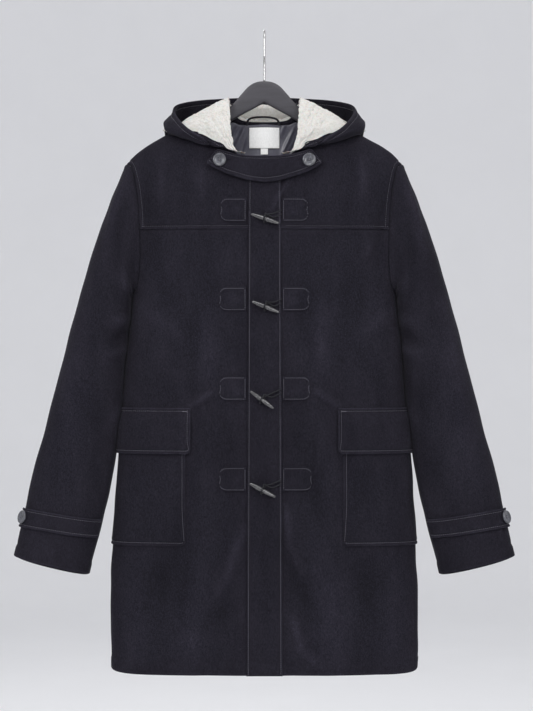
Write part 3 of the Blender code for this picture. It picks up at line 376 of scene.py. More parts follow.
# On the hood: place round it (-1 to 1, 0 at the centre back) and from neck to rim.
HOOD_FOLDS = (
    (-0.30, 0.55, -0.18, 0.86, 0.0160, 0.0030),
    (0.28, 0.52, 0.16, 0.84, 0.0160, 0.0030),
    (-0.05, 0.50, 0.02, 0.80, 0.0180, -0.0030),
    (-0.52, 0.62, -0.38, 0.80, 0.0120, 0.0020),
    (0.52, 0.60, 0.38, 0.80, 0.0120, 0.0020),
)
SATIN_FOLDS = (
    (-0.052, -0.200, -0.034, -0.158, 0.0030, 0.0016),
    (-0.044, -0.214, -0.030, -0.170, 0.0028, -0.0012),
    (-0.058, -0.182, -0.045, -0.152, 0.0026, 0.0012),
    (0.030, -0.208, 0.052, -0.160, 0.0030, 0.0016),
    (0.040, -0.212, 0.058, -0.178, 0.0026, -0.0012),
    (0.028, -0.176, 0.036, -0.152, 0.0028, 0.0010),
    (-0.020, -0.214, 0.000, -0.206, 0.0030, 0.0010),
)

# Distances in from a stitched edge at which it gets close rows of points.
EDGE_MARKS = (
    0.0, 0.0004, 0.0010, 0.0020, 0.0030, 0.0040, 0.0050, 0.0060, 0.0070, 0.0080, 0.0095, 0.0115,
)

STITCH_PITCH = 0.0036
STITCH_LENGTH = 0.0026
STITCH_HALF = 0.00036
SUNK_STITCH_HALF = STITCH_HALF * 0.60   # stitches drawn deep into the yoke's wool
EDGE_STITCH = 0.0055
SEAM_TUCK = 0.0034
HEM_TURN = 0.0185
RIM_STITCH = 0.0080
PLACKET_STITCH = 0.0028
PATCH_STITCH = 0.0022
ARMHOLE_STITCH = 0.0065

# Grids of cloth: length and step across, length and step along.
GRIDS = {
    "front": ((0.25, 0.0042), (0.75, 0.0042)),
    "back": ((0.25, 0.0056), (0.75, 0.0056)),
    "back_yoke": ((0.25, 0.0056), (0.19, 0.0050)),
    "yoke": ((0.22, 0.0030), (0.19, 0.0036)),
    "placket": ((0.0546, 0.0030), (0.870, 0.0042)),
    "cuff_tab": ((0.135, 0.0022), (0.029, 0.0016)),
    "throat_tab": ((0.200, 0.0024), (0.045, 0.0020)),
    "pocket": ((0.125, 0.0034), (0.220, 0.0040)),
    "flap": ((0.135, 0.0030), (0.078, 0.0026)),
}

FRONT = -1.0
BACK = 1.0
LEFT = -1.0
RIGHT = 1.0
SIDE_NAMES = {LEFT: "left", RIGHT: "right"}
BODY_CORE = (0.0, 0.0, -0.6)
ROOT = "root"
# By finish: the material slot of a sheet and the ending of its piece's name.
CLOTHS = {
    "wool": ("navy_wool", "cloth"),
    "satin": ("slate_satin", "cloth"),
    "tape": ("white_tape", "tape"),
}
# A piece's rolled edge, by its wall: how far in it starts, and its fall outside and inside.
ROLL_REACH = 0.65
ROLL_OUTSIDE = 0.46
ROLL_INSIDE = 0.30
# Mesh attribute of painted light and shade that the wool's colour is multiplied by: paler on fold ridges
# and turned edges, darker in fold hollows.
PAINTED_SHADE_ATTRIBUTE = "nap_lay"
FULL_SHADE_HEIGHT = 0.0040           # a fold this high gets the full painted highlight on a ridge and full painted shade in a hollow
FOLD_GAIN = 1.9               # how much higher the body's folds stand than their table says
BODY_UNEVEN = 0.00055
SLEEVE_UNEVEN = 0.0006
HOOD_UNEVEN = 0.0007
SLEEVE_FOLD_GAIN = 1.5
SATIN_FOLD_GAIN = 1.7
HOOD_ROUND = 0.42             # way round half the hood, for measuring folds
HOOD_RUN = 0.30               # way from neck to rim
HOOD_SEAM_TURN = 0.17         # where the hood's sides meet its middle strip
HOOD_STATIONS = 150
PILE_STATIONS = 300
PILE_ROWS = 112
PILE_UNDER_FACING = 0.004     # share of the way that the pile runs on under the facing
PILE_GROUND = 0.0008          # thickness of the pile's knitted ground
RIM_SHARE = 0.90              # where the close rows near the rim begin
FUZZ_REACH = 0.006            # how far in from the pile's edges its curls hang over
SLIT_Z = -0.2245
TAB_STITCH = RIM_STITCH - 0.001
BACK_STITCH = 0.0065
CUFF_TAB_STITCH = EDGE_STITCH - 0.001
PATCH_BUMP = 0.0009           # the cord's end, felt through the patch


# ---------------------------------------------------------------- small tools
def lerp(start, end, share):
    return start + (end - start) * share


def smooth(share):
    share = np.clip(share, 0.0, 1.0)
    return share * share * (3 - 2 * share)


def lookup(columns, rows, name, at):
    """Smooth curves through one named column of a table, read at places in its first column."""
    table = np.array(rows, float)
    places, values = table[:, 0], table[:, columns.index(name)]
    return read_curve(places, values, at)


def read_curve(places, values, at):
    """A smooth curve through values at rising places."""
    return read_between(places, np.clip(at, places[0], places[-1]), lambda knot: values[knot])


def read_stack(places, stack, at):
    """Smooth curves read at each place of a grid, each through that place's own points."""
    row, col = np.indices(at.shape)
    return read_between(places, at, lambda knot: stack[knot, row, col], (..., None))


def read_between(places, at, value, spread=()):
    """Reads a curve between the knots round each place; value gives what a knot holds."""
    last = len(places) - 1
    low = np.clip(np.searchsorted(places, at, side="left") - 1, 0, last - 1)
    high = low + 1
    before, after = np.maximum(low - 1, 0), np.minimum(high + 1, last)
    span = (places[high] - places[low])[spread]
    share = (at - places[low])[spread] / span
    slope_low = (value(high) - value(before)) / (places[high] - places[before])[spread]
    slope_high = (value(after) - value(low)) / (places[after] - places[low])[spread]
    square, cube = share ** 2, share ** 3
    return (
        (2 * cube - 3 * square + 1) * value(low) + (cube - 2 * square + share) * span * slope_low
        + (3 * square - 2 * cube) * value(high) + (cube - square) * span * slope_high
    )


def bell(distance, spread, middle=0.0):
    """One at the middle, falling off evenly on both sides."""
    return np.exp(-((distance - middle) / spread) ** 2)


def signed_power(value, power):
    return np.sign(value) * np.abs(value) ** power


def place_at(x, y, z):
    x, y, z = np.broadcast_arrays(x, y, z)
    return np.stack((x, y, z), axis=-1)


def corner_inset(distance, radius):
    inside = np.clip(radius - distance, 0.0, radius)
    return radius - np.sqrt(np.maximum(radius ** 2 - inside ** 2, 0.0))


def even(count, start=0.0, end=1.0):
    return np.linspace(start, end, count + 1)


def graded(length, step, close_start=True, close_end=True):
    """Shares of a length: evenly spaced, with close rows at its stitched ends."""
    marks = np.array(EDGE_MARKS)
    low = marks[-1] if close_start else 0.0
    high = length - marks[-1] if close_end else length
    count = max(int(round((high - low) / step)), 2)
    parts = [np.linspace(low, high, count + 1)]
    if close_start:
        parts.insert(0, marks[:-1])
    if close_end:
        parts.append(length - marks[-2::-1])
    return np.concatenate(parts) / length


# ---------------------------------------------------------------- the coat's surface
def half_width(z):
    return lookup(BODY_COLUMNS, BODY_ROWS, "half_width", z)


def ridge_z(x):
    return lookup(RIDGE_COLUMNS, RIDGE_ROWS, "z", np.abs(x))


def arc_from_drop(drop):
    turn = np.arccos(1 - np.clip(drop, 0.0, SHOULDER_ROUND) / SHOULDER_ROUND)
    rolled = SHOULDER_ARC * turn / (math.pi / 2)
    return np.where(drop >= SHOULDER_ROUND, SHOULDER_ARC + drop - SHOULDER_ROUND, rolled)


def section_depth(z, side):
    front = lookup(BODY_COLUMNS, BODY_ROWS, "front", z)
    back = lookup(BODY_COLUMNS, BODY_ROWS, "back", z)
    return np.where(np.asarray(side) < 0, front, back)


def coat_depth(x, z, side):
    across = np.clip(np.abs(x) / half_width(z), 0.0, 1.0)
    return section_depth(z, side) * (1 - across ** SECTION_POWER) ** (1 / SECTION_POWER)


def coat_point(x, z, side):
    """The coat's outer face at places of the front view."""
    drop = np.clip(ridge_z(x) - z, 0.0, SHOULDER_ROUND)
    roll = np.sqrt(1 - (1 - drop / SHOULDER_ROUND) ** 2)
    return place_at(x, side * (coat_depth(x, z, side) * roll + SEAM / 2), z)


def shoulder_surface(x, arc):
    """The coat's outer face by distance down from the shoulder ridge, negative on the front."""
    side = np.where(np.asarray(arc) < 0, FRONT, BACK)
    length = np.abs(arc)
    turn = np.clip(length / SHOULDER_ARC, 0.0, 1.0) * math.pi / 2
    drop = SHOULDER_ROUND * (1 - np.cos(turn)) + np.maximum(length - SHOULDER_ARC, 0.0)
    z = ridge_z(x) - drop
    return place_at(x, side * (coat_depth(x, z, side) * np.sin(turn) + SEAM / 2), z)


def turn_of(x, z):
    across = np.clip(np.abs(x) / half_width(z), 0.0, 1.0)
    return np.sign(x) * np.arcsin(across ** (SECTION_POWER / 2))


def section_point(turn, z, side):
    x = half_width(z) * signed_power(np.sin(turn), 2 / SECTION_POWER)
    y = section_depth(z, side) * signed_power(np.cos(turn), 2 / SECTION_POWER)
    return place_at(x, side * (y + SEAM / 2), z)


def armhole_xz(angle):
    share = (1 - np.cos(angle)) / 2
    x = lerp(SHOULDER_POINT[0], UNDERARM[0], share) - ARMHOLE_BOW * np.abs(np.sin(angle)) ** 0.7
    return x, lerp(SHOULDER_POINT[1], UNDERARM[1], share)


def armhole_x(z):
    share = (z - SHOULDER_POINT[1]) / (UNDERARM[1] - SHOULDER_POINT[1])
    return armhole_xz(np.arccos(1 - 2 * np.clip(share, 0.0, 1.0)))[0]


def outer_turn(z):
    return np.where(z <= UNDERARM[1], math.pi / 2, turn_of(armhole_x(z), z))


def neck_place(along):
    x = lookup(NECK_COLUMNS, NECK_ROWS, "x", np.abs(along))
    arc = lookup(NECK_COLUMNS, NECK_ROWS, "arc", np.abs(along))
    return np.stack((np.copysign(x, along), np.abs(arc)), axis=-1)


def hem_z(share):
    return HEM_Z + HEM_SIDE_RISE * share ** 6


def mirrored(points, hand):
    return points * np.array((hand, 1.0, 1.0))


def grid(name):
    """Places across and along a sheet of cloth, from its row of the table of grids."""
    (width, step_across), (length, step_along) = GRIDS[name]
    return graded(width, step_across), graded(length, step_along)


def lower_panel(side, hand, inner_x, top_z):
    """The surface of a front or half back from the hem up to a level line."""
    def surface(u, v):
        z = lerp(hem_z(np.clip(u, 0.0, 1.0)), top_z, v)
        turn = lerp(turn_of(inner_x, z), outer_turn(z), u)
        return mirrored(section_point(turn, z, side), hand)
    return surface


def upper_panel(side, hand, inner_x, bottom_z, neck_end):
    """The surface above that line: neckline and shoulder on top, armhole outside."""
    def place(x, z):
        return np.stack((x, arc_from_drop(ridge_z(x) - z)), axis=-1)

    def top_edge(u):
        u = np.asarray(u, float)
        neck = neck_place(lerp(neck_end, NECK_TOP, np.minimum(u / NECK_COLUMNS_SHARE, 1.0)))
        share = np.maximum(u - NECK_COLUMNS_SHARE, 0.0) / (1 - NECK_COLUMNS_SHARE)
        shoulder = np.stack((lerp(NECK_POINT_X, SHOULDER_POINT[0], share), np.zeros_like(u)), axis=-1)
        return np.where((u < NECK_COLUMNS_SHARE)[..., None], neck, shoulder)

    def bottom_edge(u):
        level = np.full_like(np.asarray(u, float), bottom_z)
        turn = lerp(turn_of(inner_x, level), outer_turn(level), u)
        return place(section_point(turn, level, side)[..., 0], level)

    low_angle = math.acos(1 - 2 * (bottom_z - SHOULDER_POINT[1]) / (UNDERARM[1] - SHOULDER_POINT[1]))

    def outer_edge(v):
        return place(*armhole_xz(lerp(low_angle, 0.0, v)))

    def surface(u, v):
        low, high = bottom_edge(u), top_edge(u)
        first, last = np.zeros_like(u), np.ones_like(u)
        low_in, high_in = bottom_edge(first), top_edge(first)
        low_out, high_out = bottom_edge(last), top_edge(last)
        uu, vv = u[..., None], v[..., None]
        inner = lerp(low_in, high_in, vv)
        flat = (
            low * (1 - vv) + high * vv + inner * (1 - uu) + outer_edge(v) * uu
            - low_in * (1 - uu) * (1 - vv) - low_out * uu * (1 - vv)
            - high_in * (1 - uu) * vv - high_out * uu * vv
        )
        arc = (flat[..., 1] + v * RIDGE_GAP + 1e-9) * side
        return mirrored(shoulder_surface(flat[..., 0], arc), hand)
    return surface


# ---------------------------------------------------------------- sleeves and hood
def sleeve_cell(name, v):
    return lookup(SLEEVE_COLUMNS, SLEEVE_ROWS, name, v * SLEEVE_STEPS)


def sleeve_surface(hand):
    """A sleeve: v runs from armhole to cuff, u once round from the outer edge over the front."""
    def surface(u, v):
        angle = 2 * math.pi * u
        across = signed_power(np.cos(angle), 2 / SLEEVE_POWER)
        deep = signed_power(np.sin(angle), 2 / SLEEVE_POWER)
        outer_share = (1 + across) / 2
        x = lerp(sleeve_cell("inner_x", v), sleeve_cell("outer_x", v), outer_share)
        z = lerp(sleeve_cell("inner_z", v), sleeve_cell("outer_z", v), outer_share)
        depth = np.where(deep > 0, sleeve_cell("front", v), sleeve_cell("back", v))
        y = sleeve_cell("mid_y", v) - deep * depth
        z = z + CUFF_BACK_DROP * np.minimum(deep, 0.0) * v ** 6
        fade = np.maximum(1 - v * SLEEVE_STEPS / SLEEVE_HEAD, 0.0)[..., None] ** 2
        seam_x, seam_z = armhole_xz(np.arccos(np.cos(angle)))
        seam = coat_point(seam_x, seam_z, np.where(deep > 0, FRONT, BACK))
        seam = seam + np.array((ARMHOLE_GAP, 0.0, 0.0))
        tuck = np.maximum(-v, 0.0)[..., None] * np.array((-1.0, 0.0, 0.0))
        return mirrored(lerp(place_at(x, y, z), seam, np.minimum(fade, 1.0)) + tuck, hand)
    return surface


def hood_cell(name, section):
    return lookup(HOOD_COLUMNS, HOOD_ROWS, name, section)


def hood_section(u):
    return HOOD_SECTIONS * (1 - np.clip(np.abs(u), 0.0, 1.0))


def hood_surface(u, v):
    """The hood's wool face: u from the left front end (-1) to the right (1), v from neck to rim."""
    section = hood_section(u)
    corners = [
        shoulder_surface(hood_cell("neck_x", section), hood_cell("neck_arc", section)),
        shoulder_surface(hood_cell("rest_x", section), hood_cell("rest_arc", section)),
    ]
    for name in ("fold", "outer", "rim"):
        corners.append(place_at(*(hood_cell(f"{name}_{axis}", section) for axis in "xyz")))
    point = read_stack(np.array(HOOD_KNOTS), np.stack(corners), v)
    point[..., 0] *= np.where(u < 0, LEFT, RIGHT)
    return clear_of_coat(point, HOOD_REST)


def clear_of_coat(point, clearance):
    """Moves points straight out of the coat to the stated clearance, where they are inside that."""
    x, y, z = point[..., 0], point[..., 1], point[..., 2]
    side = np.where(y < 0, FRONT, BACK)
    middle_z = ridge_z(x) - SHOULDER_ROUND
    deep = coat_depth(x, z, side) + SEAM / 2 + clearance
    reach = np.hypot(y / deep, (z - middle_z) / (SHOULDER_ROUND + clearance))
    reach = np.clip(reach, 1e-6, 1.0)
    below = z <= middle_z
    new_y = np.where(below, side * np.maximum(np.abs(y), deep), y / reach)
    new_z = np.where(below, z, middle_z + (z - middle_z) / reach)
    return place_at(x, new_y, new_z)


# ---------------------------------------------------------------- height above the surface
def soft_lines(across, along, rows, strength=1.0):
    """The summed height of a table of soft ridges and troughs at places of a flat map."""
    total = np.zeros(np.shape(across))
    for x_start, z_start, x_end, z_end, spread, height in rows:
        run_x, run_z = x_end - x_start, z_end - z_start
        share = ((across - x_start) * run_x + (along - z_start) * run_z) / (run_x ** 2 + run_z ** 2)
        share = np.clip(share, 0.0, 1.0)
        away = np.hypot(across - x_start - share * run_x, along - z_start - share * run_z)
        body = 0.35 + 0.65 * np.sin(math.pi * np.clip(share, 0.02, 0.98)) ** 0.7
        total += height * body * bell(away, spread)
    return total * strength


def measured(rows, way_round, run):
    """Rows of folds set by shares of a piece, in metres."""
    return [(a * way_round, b * run, c * way_round, d * run, spread, height)
            for a, b, c, d, spread, height in rows]


def unevenness(across, along, size):
    """A slow, irregular rise and fall, as in pressed cloth that has hung for a while."""
    waves = (
        (7.1, 3.3, 0.4), (-4.7, 9.2, 2.1), (13.9, 5.1, 4.0),
        (3.1, -17.3, 1.2), (21.7, 11.9, 5.3), (-27.1, 8.3, 0.9),
    )
    total = np.zeros(np.shape(across))
    for index, (per_x, per_z, start) in enumerate(waves):
        total += np.sin(2 * math.pi * (per_x * across + per_z * along) + start) / (1 + 0.6 * index)
    return total * size


def coat_relief(points):
    """Folds and unevenness of the coat's body, for every layer that lies on it."""
    x, y, z = points[..., 0], points[..., 1], points[..., 2]
    strength = bpy.context.scene.coat_wool.fold_strength
    front = soft_lines(x, z, FRONT_FOLDS, strength)
    back = soft_lines(x, z, BACK_FOLDS, strength)
    inside = smooth((half_width(z) - np.abs(x)) / 0.03)
    return np.where(y < 0, front, back) * inside * FOLD_GAIN + unevenness(x, z, BODY_UNEVEN)


def painted_fold_shade(points):
    """Painted light and shade of the body's folds: a painted highlight on a ridge, painted shade in a
    hollow.
    """
    x, y, z = points[..., 0], points[..., 1], points[..., 2]
    folds = np.where(y < 0, soft_lines(x, z, FRONT_FOLDS), soft_lines(x, z, BACK_FOLDS))
    return np.clip(folds / FULL_SHADE_HEIGHT, -1.0, 1.0)


def painted_edge_highlight(*distances):
    """A painted highlight along a turned edge, brightest a little in from the edge."""
    nearest = np.minimum.reduce([np.asarray(distance) for distance in distances])
    return 0.55 * bell(nearest, 0.0014, 0.0012)


def stitched_edge(distance, inset, puff=0.0007, dent=0.0006):
    """A turned edge: puffed between the edge and its row of stitches, drawn in at the row."""
    strip = np.clip(distance / inset, 0.0, 1.0)
    raised = puff * np.sin(math.pi * (0.12 + 0.88 * strip)) * (strip < 1.0)
    drawn = dent * bell(distance, 0.0012, inset)
    beyond = 0.4 * puff * bell(distance - inset, 0.0035, 0.0045)
    return raised - drawn + beyond


def pressed_seam(away, spread):
    """A seam pressed open: a ditch along it and a faint ridge on each side."""
    return 0.0008 * bell(np.abs(away), spread, 0.003) - 0.0012 * bell(away, 0.0022)


def turn_up(distance):
    """The hem: cloth turned up inside, with a faint crease where the turned part ends."""
    plateau = 0.0009 * smooth((HEM_TURN + 0.002 - distance) / 0.004)
    return plateau - 0.0007 * bell(distance - HEM_TURN, 0.0022, 0.0015)


# ---------------------------------------------------------------- cloth faces and shells
class Face:
    """A grid of points over a surface, its outward normals, and distances in from its edges."""

    def __init__(self, surface, us, vs, core=None, closed=False, sign=None):
        self.u, self.v = np.meshgrid(us, vs)
        self.closed = closed
        self.base = surface(self.u, self.v)
        across, along = self.tangents(self.base)
        self.normal = unit(np.cross(across, along))
        inside = self.base.mean(axis=1, keepdims=True) if core is None else np.array(core)
        self.sign = sign or math.copysign(1.0, (self.normal * (self.base - inside)).sum())
        self.normal = self.normal * self.sign
        self.left, self.right = edge_distances(self.base, 1)
        self.bottom, self.top = edge_distances(self.base, 0)
        if closed:
            self.left = self.right = np.ones_like(self.bottom)
        self.lifted = self.base

    def tangents(self, points):
        along = np.gradient(points, axis=0)
        if self.closed:
            return np.roll(points, -1, axis=1) - np.roll(points, 1, axis=1), along
        return np.gradient(points, axis=1), along

    def nearest_edge(self):
        return np.minimum.reduce((self.left, self.right, self.bottom, self.top))

    def lift(self, height):
        """Sets the outer face, and its own normals, at a height above the surface."""
        self.height = np.broadcast_to(height, self.u.shape).copy()
        self.lifted = self.base + self.normal * self.height[..., None]
        across, along = self.tangents(self.lifted)
        self.lifted_normal = unit(np.cross(across, along)) * self.sign
        return self

    def cut(self):
        """Longest width, longest length and area of the piece as it was cut."""
        steps = np.linalg.norm(np.diff(self.base, axis=1), axis=-1).sum(axis=1)
        if self.closed:
            steps = steps + np.linalg.norm(self.base[:, 0] - self.base[:, -1], axis=-1)
        runs = np.linalg.norm(np.diff(self.base, axis=0), axis=-1).sum(axis=0)
        points = np.concatenate((self.base, self.base[:, :1]), axis=1) if self.closed else self.base
        across = points[:-1, 1:] - points[:-1, :-1]
        along = points[1:, :-1] - points[:-1, :-1]
        area = np.linalg.norm(np.cross(across, along), axis=-1).sum()
        width, length = float(steps.max()), float(runs.max())
        flat = (round(width, 4), round(length, 4))
        return flat, min(float(area), 0.999 * flat[0] * flat[1])


def unit(vectors):
    return vectors / np.maximum(np.linalg.norm(vectors, axis=-1, keepdims=True), 1e-12)


def edge_distances(points, axis):
    steps = np.linalg.norm(np.diff(points, axis=axis), axis=-1)
    pad = [(0, 0), (0, 0)]
    pad[axis] = (1, 0)
    run = np.cumsum(np.pad(steps, pad), axis=axis)
    total = np.take(run, [-1], axis=axis)
    return run, total - run


def grid_quads(index):
    """Quads between neighbouring points of a grid of indices."""
    corners = index[:-1, :-1], index[:-1, 1:], index[1:, 1:], index[1:, :-1]
    return np.stack(corners, axis=-1).reshape(-1, 4)


def shell_faces(rows, columns, closed, sign):
    """Quads of two matching grids and the strips that join their edges."""
    index = np.arange(rows * columns).reshape(rows, columns)
    if closed:
        index = np.concatenate((index, index[:, :1]), axis=1)
    below = index + rows * columns
    outer = grid_quads(index)
    inner = outer[:, ::-1] + rows * columns
    parts = [outer, inner]

    def strip(first, second, flip):
        quads = np.stack((first[:-1], first[1:], second[1:], second[:-1]), axis=-1)
        parts.append(quads[:, ::-1] if flip else quads)

    strip(below[0], index[0], False)
    strip(below[-1], index[-1], True)
    if not closed:
        strip(index[:, 0], below[:, 0], False)
        strip(index[:, -1], below[:, -1], True)
    quads = np.concatenate(parts)
    return quads if sign > 0 else quads[:, ::-1]


def add_piece(name, points, faces, finish, lay=None):
    """A smooth mesh that rides on the coat and takes a named material slot."""
    mesh = bpy.data.meshes.new(name)
    mesh.from_pydata(np.reshape(points, (-1, 3)).tolist(), [], [list(face) for face in faces])
    # lay holds painted light and shade for the wool's colour: above 0 a painted highlight, below 0
    # painted shade.
    if lay is not None:
        painted_shading = mesh.attributes.new(PAINTED_SHADE_ATTRIBUTE, "FLOAT", "POINT")
        painted_shading.data.foreach_set("value", np.reshape(lay, -1).astype(np.float32))
    mesh.materials.append(finish)
    mesh.shade_smooth()
    piece = bpy.data.objects.new(name, mesh)
    bpy.context.scene.collection.objects.link(piece)
    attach(piece, ROOT)
    return piece


def make_cloth(node, face, height, wall=OVERLAY, finish="wool", lay=0.0,
               stands_for=()):
    """One piece of cloth in place of its solid: a closed shell with rolled edges, at its cut size."""
    face.lift(height)
    near_edge = np.clip(face.nearest_edge() / (wall * ROLL_REACH), 0.0, 1.0)
    turned = 1 - np.sqrt(1 - (1 - near_edge) ** 2)
    top = face.base + face.normal * (face.height - ROLL_OUTSIDE * wall * turned)[..., None]
    low = face.base + face.normal * (face.height - wall + ROLL_INSIDE * wall * turned)[..., None]
    rows, columns = face.u.shape
    quads = shell_faces(rows, columns, face.closed, face.sign)
    # The outer face gets the painted light and shade in lay; the inner face gets none.
    outer_painted_shade = np.broadcast_to(lay, face.u.shape) + np.zeros_like(face.u)
    both_painted_shades = np.stack((outer_painted_shade, np.zeros_like(outer_painted_shade)))
    slot, ending = CLOTHS[finish]
    points = np.stack((top, low))
    piece = add_piece(f"{node}_{ending}", points, quads.tolist(), FINISH[finish], both_painted_shades)
    flat, area = face.cut()
    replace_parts(piece, *(stands_for or (node,)))


# ---------------------------------------------------------------- stitches
# One stitch: corners as shares of its length along, and of its half width across and up.
STITCH_SHAPE = (
    (-0.5, 0.0, -0.3),
    (-0.32, -0.8, 0.1), (-0.32, 0.0, 0.9), (-0.32, 0.8, 0.1), (-0.32, 0.0, -0.6),
    (0.32, -0.8, 0.1), (0.32, 0.0, 0.9), (0.32, 0.8, 0.1), (0.32, 0.0, -0.6),
    (0.5, 0.0, -0.3),
)
STITCH_FACES = (
    (1, 2, 6, 5), (2, 3, 7, 6), (3, 4, 8, 7), (4, 1, 5, 8),
    (0, 2, 1), (0, 3, 2), (0, 4, 3), (0, 1, 4), (9, 5, 6), (9, 6, 7), (9, 7, 8), (9, 8, 5),
)


class Thread:
    """Rows of stitches, gathered and made as one piece."""

    def __init__(self):
        self.points, self.faces, self.count = [], [], 0

    def row(self, line, normals, pitch=STITCH_PITCH, length=STITCH_LENGTH, half=STITCH_HALF):
        """Stitches along a line of points on the cloth."""
        run = np.concatenate(([0.0], np.cumsum(np.linalg.norm(np.diff(line, axis=0), axis=1))))
        count = int((run[-1] - length) / pitch)
        if count < 1:
            return
        middles = (run[-1] - count * pitch) / 2 + pitch * np.arange(count + 1)

        def at(places, values):
            return np.stack([np.interp(places, run, values[:, k]) for k in range(3)], axis=-1)

        centre = at(middles, line)
        along = unit(at(middles + length / 2, line) - at(middles - length / 2, line))
        up = unit(at(middles, normals))
        side = np.cross(along, up)
        corners = np.stack([
            centre + along * (a * length) + side * (b * half) + up * (c * half)
            for a, b, c in STITCH_SHAPE
        ], axis=1)
        per_stitch = len(STITCH_SHAPE)
        for stitch in range(len(centre)):
            first = self.count + stitch * per_stitch
            self.faces += [[first + i for i in face] for face in STITCH_FACES]
        self.points.append(corners.reshape(-1, 3))
        self.count += len(centre) * per_stitch

    def inside(self, face, edge, inset, skip_start=0.0, skip_end=0.0, half=STITCH_HALF):
        """A row along one edge of a cloth face, at a distance in from it."""
        run = face.left if edge in ("bottom", "top") else face.bottom
        grids = [getattr(face, edge), face.lifted, face.lifted_normal, run]
        if edge in ("left", "right"):
            grids = [np.swapaxes(values, 0, 1) for values in grids]
        if edge in ("top", "right"):
            grids = [values[::-1] for values in grids]
        depth, points, normals, run = grids
        line, ups, places = [], [], []
        for col in range(depth.shape[1]):
            line.append([np.interp(inset, depth[:, col], points[:, col, k]) for k in range(3)])
            ups.append([np.interp(inset, depth[:, col], normals[:, col, k]) for k in range(3)])
            places.append(np.interp(inset, depth[:, col], run[:, col]))
        if face.closed:
            line, ups = line + line[:1], ups + ups[:1]
            self.row(np.array(line), np.array(ups), half=half)
            return
        places = np.array(places)
        kept = (places >= skip_start) & (places <= places[-1] - skip_end)
        self.row(np.array(line)[kept], np.array(ups)[kept], half=half)

    def make(self, name, finish="thread"):
        add_piece(name, np.concatenate(self.points), self.faces, FINISH[finish])


# ---------------------------------------------------------------- round cords and wires
def ring_faces(rings, sides, capped=True):
    """Quads between rings of points, and a cap at each end."""
    faces = []
    for ring in range(rings - 1):
        near, far = ring * sides, (ring + 1) * sides
        for place in range(sides):
            after = (place + 1) % sides
            faces.append((near + place, near + after, far + after, far + place))
    if capped:
        faces.append(tuple(range(sides))[::-1])
        faces.append(tuple(range((rings - 1) * sides, rings * sides)))
    return faces


def smooth_path(points, per_span):
    route = np.array(points, float)
    places = np.arange(len(route), dtype=float)
    at = np.linspace(0, len(route) - 1, (len(route) - 1) * per_span + 1)
    return np.stack([read_curve(places, route[:, k], at) for k in range(3)], axis=-1)


def tube(name, path, radius, sides, finish, strands=0, lay=0.0, depth=0.0):
    """A round cord or wire along a path, twisted from strands where it is a cord."""
    along = unit(np.gradient(path, axis=0))
    side = np.cross(along[0], (0.31, 0.52, 0.79))
    ring_sides = []
    for step in along:
        side = unit(side - step * np.dot(side, step))
        ring_sides.append(side)
    ring_sides = np.array(ring_sides)
    ring_ups = np.cross(along, ring_sides)
    run = np.concatenate(([0.0], np.cumsum(np.linalg.norm(np.diff(path, axis=0), axis=1))))
    turn = np.linspace(0, 2 * math.pi, sides, endpoint=False)
    wide = np.full((len(path), sides), radius)
    if strands:
        twist = np.cos(strands * (turn[None, :] - run[:, None] * lay) / 2)
        wide = radius * (1 - depth + depth * np.abs(twist))
    points = (
        path[:, None] + ring_sides[:, None] * (np.cos(turn)[None, :, None] * wide[..., None])
        + ring_ups[:, None] * (np.sin(turn)[None, :, None] * wide[..., None])
    )
    rows = len(path)
    index = np.arange(rows * sides).reshape(rows, sides)
    index = np.concatenate((index, index[:, :1]), axis=1)
    quads = grid_quads(index)
    first, last = rows * sides, rows * sides + 1
    fans = [(first, index[0, k + 1], index[0, k]) for k in range(sides)]
    fans += [(last, index[-1, k], index[-1, k + 1]) for k in range(sides)]
    tips = np.stack((path[0] - along[0] * radius * 0.5, path[-1] + along[-1] * radius * 0.5))
    corners = np.concatenate((points.reshape(-1, 3), tips))
    faces = quads.tolist() + [[int(i) for i in fan] for fan in fans]
    return add_piece(name, corners, faces, finish)


# ---------------------------------------------------------------- finishes
FINISH = {}


def start_finish(name, colour, roughness, **sockets):
    """A material with its shader's constant values set on the shader itself."""
    made = bpy.data.materials.new(name)
    made.use_nodes = True
    tree = made.node_tree
    shader = tree.nodes["Principled BSDF"]
    shader.inputs["Base Color"].default_value = (*colour, 1.0)
    shader.inputs["Roughness"].default_value = roughness
    for socket, value in sockets.items():
        shader.inputs[socket.replace("_", " ")].default_value = value
    FINISH[name] = made
    return tree, shader


def grain(tree, scale, detail=3.0, rough=0.6, stretch=(1.0, 1.0, 1.0), turn=0.0):
    """Noise in the object's own metres, stretched along its grain."""
    coords = tree.nodes.new("ShaderNodeTexCoord")
    mapping = tree.nodes.new("ShaderNodeMapping")
    mapping.inputs["Scale"].default_value = stretch
    mapping.inputs["Rotation"].default_value = (0.0, turn, 0.0)
    noise = tree.nodes.new("ShaderNodeTexNoise")
    noise.inputs["Scale"].default_value = scale
    noise.inputs["Detail"].default_value = detail
    noise.inputs["Roughness"].default_value = rough
    tree.links.new(coords.outputs["Object"], mapping.inputs["Vector"])
    tree.links.new(mapping.outputs["Vector"], noise.inputs["Vector"])
    return noise.outputs["Fac"]


def shades(tree, factor, stops):
    """Colours read from a factor, between stops of (place, colour)."""
    ramp = tree.nodes.new("ShaderNodeValToRGB")
    ramp.color_ramp.elements[0].position = stops[0][0]
    ramp.color_ramp.elements[0].color = (*stops[0][1], 1.0)
    ramp.color_ramp.elements[1].position = stops[-1][0]
    ramp.color_ramp.elements[1].color = (*stops[-1][1], 1.0)
    for place, colour in stops[1:-1]:
        added = ramp.color_ramp.elements.new(place)
        added.color = (*colour, 1.0)
    tree.links.new(factor, ramp.inputs["Fac"])
    return ramp.outputs["Color"]


def tints(tree, factor, colour, *stops):
    """One colour made darker and paler by a factor, with stops of (place, amount)."""
    return shades(tree, factor, [(place, scaled(colour, amount)) for place, amount in stops])


def greys(tree, factor, *stops):
    return shades(tree, factor, [(place, (level,) * 3) for place, level in stops])


